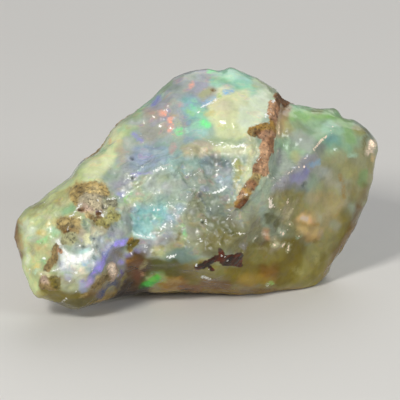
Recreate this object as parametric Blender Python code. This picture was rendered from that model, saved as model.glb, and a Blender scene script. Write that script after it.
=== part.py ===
"""A rough piece of precious opal with sandy brown matrix in its seams, as one solid stone.

The stone is laid out square on to its broad face, in three directions measured in millimetres:
across (to the right), rise (up along the face) and depth (away from the face, into the stone).
The broad face leans back from upright by LEAN, and the stone rests on a flat worn underneath it.
"""

import math
from random import Random

import bmesh
import bpy
from mathutils import Vector, noise

MM = 0.001

# How the stone stands: +X is to the right, +Z is up, and the broad face looks towards -Y.
LEAN = math.radians(20.0)
ACROSS = Vector((1.0, 0.0, 0.0))
RISE = Vector((0.0, math.sin(LEAN), math.cos(LEAN)))
DEPTH = Vector((0.0, math.cos(LEAN), -math.sin(LEAN)))
# The middle of the stone's box stands this far to the right of and behind the laying-out point.
STAND = (0.0, 2.56)
# The left end comes forward and the right end falls back, by this much depth for each mm across.
TURN = 0.22
# Beyond that the left lobe bends forward by LOBE_BEND, between two places across.
LOBE_BEND = 2.2
LOBE_BEND_FROM = -4.0
LOBE_BEND_TO = -11.0

# The heart is the point from which every reach is measured.
HEART = Vector((0.0, 9.1, 0.9))

# The outline of the broad face, clockwise from the tip of the left lobe: (across, rise).
OUTLINE = (
    (-16.0, 5.8), (-15.9, 6.8), (-15.3, 7.8), (-14.2, 8.6), (-13.2, 9.3), (-12.0, 10.2),
    (-11.2, 10.9), (-10.6, 11.8), (-9.8, 12.5), (-9.0, 13.0), (-8.2, 13.8), (-7.5, 14.9),
    (-6.9, 15.6), (-5.7, 16.5), (-4.2, 17.8), (-3.1, 18.8), (-2.0, 19.8), (-0.1, 20.5),
    (2.2, 20.4), (3.0, 20.7), (4.0, 20.2), (5.3, 19.6), (6.9, 18.5), (7.6, 17.7),
    (8.7, 17.4), (10.6, 17.1), (12.2, 17.0), (12.9, 16.3), (14.1, 15.9), (15.6, 14.6),
    (16.0, 13.7), (15.8, 12.4), (15.2, 9.6), (14.1, 6.8), (12.1, 3.8), (10.7, 1.8),
    (9.4, 1.0), (7.3, 0.8), (2.4, 0.6), (-1.5, 0.8), (-5.0, 0.7), (-7.9, 0.2),
    (-9.7, -0.4), (-10.6, -0.6), (-12.1, -0.1), (-13.1, 0.3), (-14.2, 0.6), (-14.8, 1.6),
    (-15.5, 4.0),
)

# The fracture faces: the way each looks (across, rise, depth) and how far it is from the heart.
FRACTURE_FACES = {
    "broad face": ((-0.02, -0.04, -1.0), 7.2),
    "upper slope": ((-0.05, 0.62, -0.78), 8.2),
    "upper left slope": ((-0.55, 0.50, -0.67), 7.9),
    "right flank": ((0.60, 0.12, -0.79), 10.0),
    "right shoulder": ((0.48, 0.50, -0.72), 10.9),
    "lower right flank": ((0.42, -0.52, -0.74), 8.4),
    "undercut": ((0.05, -0.86, -0.50), 7.9),
    "left lobe front": ((-0.58, -0.10, -0.81), 9.9),
    "underneath": ((0.0, -0.94, 0.34), 9.0),
    "under the lobe": ((-0.45, -0.80, 0.40), 12.6),
    "back": ((0.05, 0.20, 0.98), 7.4),
    "upper back": ((-0.15, 0.70, 0.70), 8.9),
    "right back": ((0.55, 0.05, 0.83), 9.0),
    "left back": ((-0.50, 0.10, 0.86), 8.4),
    "lower back": ((-0.15, -0.62, 0.77), 8.0),
}
FACES = [(Vector(looks).normalized(), distance) for looks, distance in FRACTURE_FACES.values()]
# A higher value makes the edges between the faces crisper.
EDGE_SHARPNESS = 15.0
# The stone is stretched to its outline at the rim, and a higher value keeps that nearer the rim.
RIM_HOLD = 8.0

# The relief of the front fades away over this depth on each side of the rim.
FRONT_FADE = 1.0
# Swells and hollows of the front: the middle (across, rise), the radius and the height.
FRONT_SWELLS = {
    "left lobe": ((-10.6, 4.2), 4.0, 1.1),
    "brown crust on the lobe": ((-9.2, 9.2), 2.4, 0.7),
    "crust below it": ((-10.8, 6.6), 1.8, 0.45),
    "cheek under the crest": ((-2.0, 10.4), 2.8, 0.5),
    "lip beside the seam": ((4.6, 11.0), 2.2, 0.6),
    "upper swell": ((3.6, 16.8), 3.4, 0.5),
    "right end swell": ((14.2, 13.6), 2.4, 0.6),
    "belly by the red mark": ((2.4, 5.2), 2.6, 0.4),
    "neck beside the lobe": ((-6.2, 2.6), 2.3, -1.5),
    "blue hollow": ((1.8, 12.0), 1.9, -0.55),
    "teal hollow": ((-4.4, 6.9), 2.0, -0.45),
    "right bowl": ((11.4, 9.2), 2.7, -0.9),
    "hollow right of the seam": ((8.0, 13.4), 1.9, -0.6),
    "glinting hollow": ((7.6, 6.6), 2.2, -0.35),
    "hollow over the neck": ((-7.6, 11.9), 1.7, -0.35),
    "pale scoop": ((-0.6, 14.6), 2.2, -0.4),
}

# Ridges and grooves of the front: the line (across, rise), the half width and the height.
FRONT_LINES = {
    "crest": (((-6.0, 11.1), (-2.7, 11.8), (-0.6, 13.5), (2.4, 13.9), (4.6, 13.4)), 0.7, 0.45),
    "upper seam": (((7.5, 18.0), (6.7, 16.9), (6.4, 15.2), (6.3, 13.4)), 0.55, 0.5),
    "lower seam": (((6.3, 13.4), (5.9, 11.6), (4.9, 10.4), (3.7, 8.6)), 0.55, 0.5),
    "crust beside the seam": (((6.3, 15.4), (5.2, 15.1), (4.6, 14.8)), 0.75, 0.4),
    "step right of the seam": (((8.1, 17.9), (7.3, 16.6), (7.2, 14.0), (6.9, 11.6)), 0.6, -0.6),
    "right ridge": (((12.0, 15.4), (10.2, 13.6), (8.4, 11.6), (6.8, 10.2)), 0.6, 0.5),
    "short crest": (((0.0, 9.6), (1.2, 9.5), (2.6, 10.1)), 0.4, 0.3),
    "teal ledge": (((-5.4, 5.6), (-4.0, 5.5), (-2.6, 5.9)), 0.5, 0.45),
    "ledge over the undercut": (((-5.4, 3.7), (-2.9, 4.0), (0.4, 2.9), (4.4, 1.5)), 0.7, 0.6),
    "groove by the violet band": (((-5.6, 5.2), (-7.4, 3.6), (-8.2, 1.4)), 0.6, -0.6),
    "lobe fold": (((-12.4, 6.4), (-12.6, 5.0), (-13.0, 3.0)), 0.5, -0.25),
}

# Conchoidal scoops, where the stone has flaked, and their depth as a share of their radius.
SCOOP_COUNT = 90
SCOOP_RADIUS = (1.3, 4.4)
SCOOP_DEPTH = 0.16
SCOOP_SEED = 11

# The surface everywhere: broad waves and small lumps, as (size, height), each from its own
# part of the noise.
WAVES = (4.2, 0.34)
LUMPS = (1.5, 0.14)
LUMPS_START = Vector((5.0, 2.0, 9.0))
# The sandy crust stands proud and is rougher. It lies in patches on the back and the left end,
# and on the front in the patches that are given here by their middle (across, rise) and radius.
CRUST_SIZE = 5.5
CRUST_START = Vector((3.1, 7.7, 1.3))
CRUST_SIDE = Vector((-0.35, -0.25, 0.55))
CRUST_LEVEL = 0.28
CRUST_EDGE = 3.0
CRUST_HEIGHT = 0.45
CRUST_GRAIN = (0.9, 0.24)
FRONT_CRUST = {
    "top of the lobe": ((-9.1, 9.9), 1.5),
    "beside the dark holes": ((-8.3, 8.1), 1.2),
    "middle of the lobe": ((-11.2, 6.5), 1.2),
    "foot of the lobe": ((-12.8, 1.7), 1.1),
    "beside the violet band": ((-7.7, 2.6), 0.9),
}

# On the rim the relief is calmed, so that the outline stays true.
RIM_CALM = 0.88
RIM_BAND = 0.18

# Points this near the ground are taken as lying on the flat underneath.
FLAT_SNAP = 0.12
# Points nearer to each other than this become one.
MERGE_GAP = 0.03
# A fine shape is worked first and then thinned to the facets that the stone needs.
SPHERE_STEPS = 7
FACET_SHARE = 0.108


def clear_scene():
    """Take away whatever the file held."""
    for thing in list(bpy.data.objects):
        bpy.data.objects.remove(thing, do_unlink=True)


def outline_reaches():
    """The outline's points as (angle, reach) about the heart, in order of angle."""
    points = []
    for across, rise in OUTLINE:
        along = across - HEART.x
        up = rise - HEART.y
        points.append((math.atan2(up, along), math.hypot(along, up)))
    return sorted(points)


def outline_reach(points, angle):
    """How far the outline is from the heart at an angle, eased from point to point."""
    count = len(points)
    after = 0
    while after < count and points[after][0] < angle:
        after += 1
    spots = []
    for step in (-2, -1, 0, 1):
        place = after + step
        turn = (place // count) * math.tau
        spots.append((points[place % count][0] + turn, points[place % count][1]))
    (angle_a, reach_a), (angle_b, reach_b), (angle_c, reach_c), (angle_d, reach_d) = spots
    span = angle_c - angle_b
    share = (angle - angle_b) / span
    slope_b = (reach_c - reach_a) / (angle_c - angle_a) * span
    slope_c = (reach_d - reach_b) / (angle_d - angle_b) * span
    return (
        reach_b * (2 * share**3 - 3 * share**2 + 1)
        + slope_b * (share**3 - 2 * share**2 + share)
        + reach_c * (3 * share**2 - 2 * share**3)
        + slope_c * (share**3 - share**2)
    )


def blended_closeness(way, rim):
    """One over the reach: the fracture faces that look this way and the rim, blended."""
    closeness = rim**EDGE_SHARPNESS
    for looks, distance in FACES:
        facing = way.dot(looks)
        if facing > 0.0:
            closeness += (facing / distance) ** EDGE_SHARPNESS
    return closeness ** (1.0 / EDGE_SHARPNESS)


def fractured_reach(way, points):
    """How far the bare stone reaches from its heart, true to the outline at the rim.

    The second value is how much of that surface is the rim's, from 0 to 1.
    """
    spread = max(math.hypot(way.x, way.y), 1e-6)
    rim = 1.0 / outline_reach(points, math.atan2(way.y, way.x))
    level = Vector((way.x / spread, way.y / spread, 0.0))
    trim = rim / blended_closeness(level, rim)
    closeness = blended_closeness(way, spread * rim)
    rim_share = (spread * rim / closeness) ** EDGE_SHARPNESS
    return 1.0 / (closeness * (1.0 + (trim - 1.0) * spread**RIM_HOLD)), rim_share


def line_distance(line, across, rise):
    """The distance from a point to a line of straight runs."""
    best = math.inf
    for (x0, y0), (x1, y1) in zip(line, line[1:]):
        run_x = x1 - x0
        run_y = y1 - y0
        share = ((across - x0) * run_x + (rise - y0) * run_y) / (run_x**2 + run_y**2)
        share = min(1.0, max(0.0, share))
        best = min(best, math.hypot(across - x0 - share * run_x, rise - y0 - share * run_y))
    return best


def bump(distance, size):
    """A round bump that has died away at about twice its size."""
    return math.exp(-((distance / size) ** 2))


def front_relief(spot):
    """The swells, hollows, ridges and grooves of the front, at a spot seen from the heart."""
    across = spot.x + HEART.x
    rise = spot.y + HEART.y
    facing = min(1.0, max(0.0, 0.5 - 0.5 * spot.z / FRONT_FADE))
    height = 0.0
    for (x, y), radius, swell in FRONT_SWELLS.values():
        height += swell * bump(math.hypot(across - x, rise - y), radius)
    for line, half_width, ridge in FRONT_LINES.values():
        height += ridge * bump(line_distance(line, across, rise), half_width)
    return height * facing


def scoops(points):
    """The seeded flakes all round the stone: the middle and the radius of each."""
    dice = Random(SCOOP_SEED)
    made = []
    for _ in range(SCOOP_COUNT):
        way = Vector([dice.gauss(0.0, 1.0) for _ in range(3)]).normalized()
        reach, _ = fractured_reach(way, points)
        made.append((way * reach, dice.uniform(*SCOOP_RADIUS)))
    return made


def crust_cover(way, spot):
    """How much matrix crust covers a place, from 0 to 1."""
    patch = noise.noise(spot / CRUST_SIZE + CRUST_START) + way.dot(CRUST_SIDE)
    cover = min(1.0, max(0.0, CRUST_EDGE * (patch - CRUST_LEVEL)))
    if way.z < 0.0:
        for (across, rise), radius in FRONT_CRUST.values():
            away = math.hypot(spot.x + HEART.x - across, spot.y + HEART.y - rise)
            cover = max(cover, bump(away, radius))
    return cover


def skin_relief(way, spot, flakes):
    """The waves, lumps, flakes and crust that any side of the stone may have."""
    size, height = WAVES
    relief = height * noise.noise(spot / size)
    size, lump = LUMPS
    relief += lump * noise.noise(spot / size + LUMPS_START)
    deepest = 0.0
    for middle, radius in flakes:
        share = (spot - middle).length / radius
        if share < 1.0:
            deepest = max(deepest, SCOOP_DEPTH * radius * (1.0 - share**2))
    relief -= deepest
    cover = crust_cover(way, spot)
    if cover > 0.0:
        size, grain = CRUST_GRAIN
        relief += cover * (CRUST_HEIGHT + grain * noise.noise(spot / size))
    return relief


def lobe_share(across):
    """How far into the left lobe a place is, eased from 0 at its root to 1."""
    share = (across - LOBE_BEND_FROM) / (LOBE_BEND_TO - LOBE_BEND_FROM)
    share = min(1.0, max(0.0, share))
    return share * share * (3.0 - 2.0 * share)


def shape_stone(mesh):
    """Push the points of a unit sphere out to the stone's surface, in metres."""
    points = outline_reaches()
    flakes = scoops(points)
    for point in mesh.verts:
        way = point.co.normalized()
        reach, rim_share = fractured_reach(way, points)
        spot = way * reach
        held = 1.0 - RIM_CALM * max(rim_share, bump(way.z, RIM_BAND))
        spot += way * (held * skin_relief(way, spot, flakes))
        spot.z -= front_relief(spot)
        depth = spot.z + HEART.z + TURN * spot.x - LOBE_BEND * lobe_share(spot.x)
        place = ACROSS * (spot.x + HEART.x) + RISE * (spot.y + HEART.y) + DEPTH * depth
        place -= Vector((*STAND, 0.0))
        point.co = place * MM


def cut_flat(mesh):
    """Wear the underneath flat at ground level and close the cut."""
    for point in mesh.verts:
        if abs(point.co.z) < FLAT_SNAP * MM:
            point.co.z = 0.0
    bmesh.ops.bisect_plane(
        mesh,
        geom=mesh.verts[:] + mesh.edges[:] + mesh.faces[:],
        plane_co=(0.0, 0.0, 0.0),
        plane_no=(0.0, 0.0, -1.0),
        clear_outer=True,
    )
    lying = [face for face in mesh.faces if all(point.co.z <= 0.0 for point in face.verts)]
    bmesh.ops.delete(mesh, geom=lying, context="FACES")
    rim = [edge for edge in mesh.edges if edge.is_boundary]
    bmesh.ops.edgenet_fill(mesh, edges=rim)
    bmesh.ops.remove_doubles(mesh, verts=mesh.verts, dist=MERGE_GAP * MM)
    bmesh.ops.recalc_face_normals(mesh, faces=mesh.faces[:])


def opal_material():
    """Pale, glossy, slightly milky opal."""
    material = bpy.data.materials.new("opal")
    material.use_nodes = True
    surface = material.node_tree.nodes["Principled BSDF"]
    surface.inputs["Base Color"].default_value = (0.42, 0.45, 0.34, 1.0)
    surface.inputs["Roughness"].default_value = 0.28
    surface.inputs["Metallic"].default_value = 0.0
    return material


def make_stone():
    """The whole stone: shaped fine, thinned, worn flat underneath and centred."""
    mesh = bmesh.new()
    bmesh.ops.create_icosphere(mesh, subdivisions=SPHERE_STEPS, radius=1.0)
    shape_stone(mesh)
    data = bpy.data.meshes.new("opal_stone")
    mesh.to_mesh(data)
    mesh.free()
    stone = bpy.data.objects.new("opal_stone", data)
    bpy.context.scene.collection.objects.link(stone)
    thin = stone.modifiers.new("facets", "DECIMATE")
    thin.ratio = FACET_SHARE
    settled = stone.evaluated_get(bpy.context.evaluated_depsgraph_get())
    thinned = bpy.data.meshes.new_from_object(settled)
    stone.modifiers.remove(thin)

    mesh = bmesh.new()
    mesh.from_mesh(thinned)
    cut_flat(mesh)
    bmesh.ops.triangulate(mesh, faces=mesh.faces[:])
    mesh.to_mesh(data)
    mesh.free()
    bpy.data.meshes.remove(thinned)
    data.shade_smooth()
    data.set_sharp_from_angle(angle=math.radians(35.0))
    data.materials.append(opal_material())
    return stone


clear_scene()
make_stone()
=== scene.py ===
"""Dresses the rough opal: its flaked and crusted skin, its play of colour, and a plain studio.

Places on the stone's front are given as the eye meets them, square on to the broad face:
(across, rise) in millimetres, across to the right and rise up along the face.
"""

import math

import bmesh
import bpy
import numpy as np
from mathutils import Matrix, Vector, noise


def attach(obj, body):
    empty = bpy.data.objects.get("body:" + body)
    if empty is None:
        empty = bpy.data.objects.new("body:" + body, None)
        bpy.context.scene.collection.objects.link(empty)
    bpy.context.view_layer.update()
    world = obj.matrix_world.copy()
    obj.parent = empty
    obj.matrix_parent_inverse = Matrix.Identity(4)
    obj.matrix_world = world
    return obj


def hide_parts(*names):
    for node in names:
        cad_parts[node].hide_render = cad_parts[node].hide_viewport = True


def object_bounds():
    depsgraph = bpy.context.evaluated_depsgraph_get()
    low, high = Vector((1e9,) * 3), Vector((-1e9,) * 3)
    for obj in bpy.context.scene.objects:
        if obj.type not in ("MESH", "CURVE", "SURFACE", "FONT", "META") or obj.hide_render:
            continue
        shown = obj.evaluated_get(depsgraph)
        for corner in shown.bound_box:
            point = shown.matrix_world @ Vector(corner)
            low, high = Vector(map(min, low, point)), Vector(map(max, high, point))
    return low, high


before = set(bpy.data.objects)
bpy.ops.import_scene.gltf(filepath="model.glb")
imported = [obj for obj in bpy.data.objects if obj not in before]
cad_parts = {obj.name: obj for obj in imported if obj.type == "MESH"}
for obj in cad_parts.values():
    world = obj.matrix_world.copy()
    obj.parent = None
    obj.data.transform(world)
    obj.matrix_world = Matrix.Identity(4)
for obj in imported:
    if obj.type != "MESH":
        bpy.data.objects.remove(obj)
cad_low, cad_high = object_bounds()

MM = 0.001

# How the stone stands: its broad face leans back from upright, and its box stands this far back.
LEAN = math.radians(20.0)
STAND_BACK = 2.56
# The heart of the stone as (across, rise, depth), and how its left end comes forward.
HEART = (0.0, 9.1, 0.9)
TURN = 0.22
LOBE_BEND = 2.2
LOBE_BEND_FROM = -4.0
LOBE_BEND_TO = -11.0
# How far in from the broad face the front's paint is still whole, and where it has faded out.
FRONT_WHOLE = -0.1
FRONT_GONE = 1.9

# The fine skin: the step of its mesh in mm, and how many times it is smoothed to ease the
# solid's facets away.
SKIN_GRID = 0.156
SKIN_EASING = 11
# Flakes broken off the skin: how wide they are, how deep they bite, how sharp a ridge they leave,
# how high their ripples are, in mm, and where their pattern starts.
FLAKES = (
    (2.4, 0.60, 0.9, 0.012, 0.0),
    (1.0, 0.34, 0.7, 0.0, 4.0),
    (0.52, 0.13, 0.4, 0.0, 8.0),
)
RIPPLE_STEP = 0.62
# Flakes are bent by this share of their width, by noise of this size that starts at three places.
FLAKE_BEND = 0.35
BEND_SIZE = 1.7
BEND_STARTS = (3.0, 13.0, 23.0)
# Patches of the front wander: how far and over what size, broadly and finely.
BROAD_WANDER = 0.30
BROAD_WANDER_SIZE = 1.1
FINE_WANDER = 0.12
FINE_WANDER_SIZE = 0.4
# The share of that wander that reaches each kind of thing. A patch of the front has all of it,
# less where it is narrow, and more where it is wide, up to half as much again.
MATRIX_WANDER = 0.5
MARK_WANDER = 0.5
EDGE_GLINT_WANDER = 0.4
GLINT_WANDER = 0.2
BACK_SEAM_WANDER = 2.0
WHOLE_WANDER_WIDTH = 0.5
WIDE_WANDER = 1.5
# How far a painted edge glint reaches to each side, and how strongly a glint point shows, against a
# full edge glint of 1.
EDGE_GLINT_REACH = 0.35
GLINT_STRENGTH = 1.25
# The share of a small mark falls from 1 to 0 over this width at its edge, for grain to break up.
MARK_EDGE = 0.5
# How much livelier the painted colours are made, because the milky stone dulls them, and how much
# more than that in the darkest of them.
LIVELINESS = 1.08
DARK_LIVELINESS = 0.22
# How each of red, green and blue counts in how light a colour is.
LIGHTNESS = (0.2126, 0.7152, 0.0722)

PALETTE = {
    "potch": "A2A4A0",
    "light grey": "B6BAB2",
    "lilac grey": "A4A0A8",
    "drab": "8E8A70",
    "warm grey": "A49E94",
    "mauve grey": "868084",
    "blue grey": "94A0B4",
    "ice blue": "A4B8C4",
    "teal grey": "98B0A8",
    "green grey": "A2B09A",
    "slate": "788484",
    "dark slate": "586660",
    "teal slate": "6A7C74",
    "shadow": "505426",
    "lavender": "9A9ACC",
    "lilac": "A8A8C8",
    "violet": "8E7EE6",
    "bright violet": "AE9EFF",
    "blue violet": "868AD0",
    "pink violet": "BCA4D6",
    "deep violet": "604A9E",
    "ink": "2C3664",
    "sky": "90BCE0",
    "aqua": "8EBEC0",
    "pale cyan": "BEE4DE",
    "teal": "78B0A6",
    "sea green": "6CAC7E",
    "leaf": "86C292",
    "mint": "A0D6B0",
    "pale mint": "C0E8CC",
    "bright green": "80F69A",
    "green flash": "44B014",
    "spot green": "9ED876",
    "apple green": "A0C686",
    "soft green": "AECCA6",
    "moss": "88B26A",
    "sage": "A6B48A",
    "yellow green": "C4CE94",
    "cream": "E0E0B2",
    "warm cream": "E0D6B0",
    "pale cream": "E0E8CC",
    "straw": "D4C88A",
    "yellow": "E2D080",
    "gold": "FAD490",
    "peach": "FEE6CC",
    "apricot": "E4B080",
    "salmon": "FEB298",
    "pink": "CAA29E",
    "rose beige": "C4AA94",
    "beige": "BEB090",
    "sand": "BCA266",
    "loam": "B09A62",
    "tan": "AA843E",
    "light khaki": "AEA866",
    "dry grass": "A8A67C",
    "dun": "8E784A",
    "pale sand": "D2BA82",
    "khaki": "968C4C",
    "olive": "746622",
    "bog": "6E6A4A",
    "stone grey": "8E948A",
    "pewter": "767C6E",
    "dark olive": "565018",
    "amber": "8E6C0C",
    "brown": "6C4412",
    "red brown": "663608",
    "umber": "462C06",
    "peat": "200C04",
    "rust": "986C48",
    "old rose": "AE8464",
    "pale rust": "C69A74",
    "ironstone red": "8A3200",
    "dark iron": "4A1A00",
    "white": "F6F8F4",
    "black": "141412",
    "card": "DEDCD8",
    "shaded card": "D8D6D2",
    "daylight": "F0F2F4",
}
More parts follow.
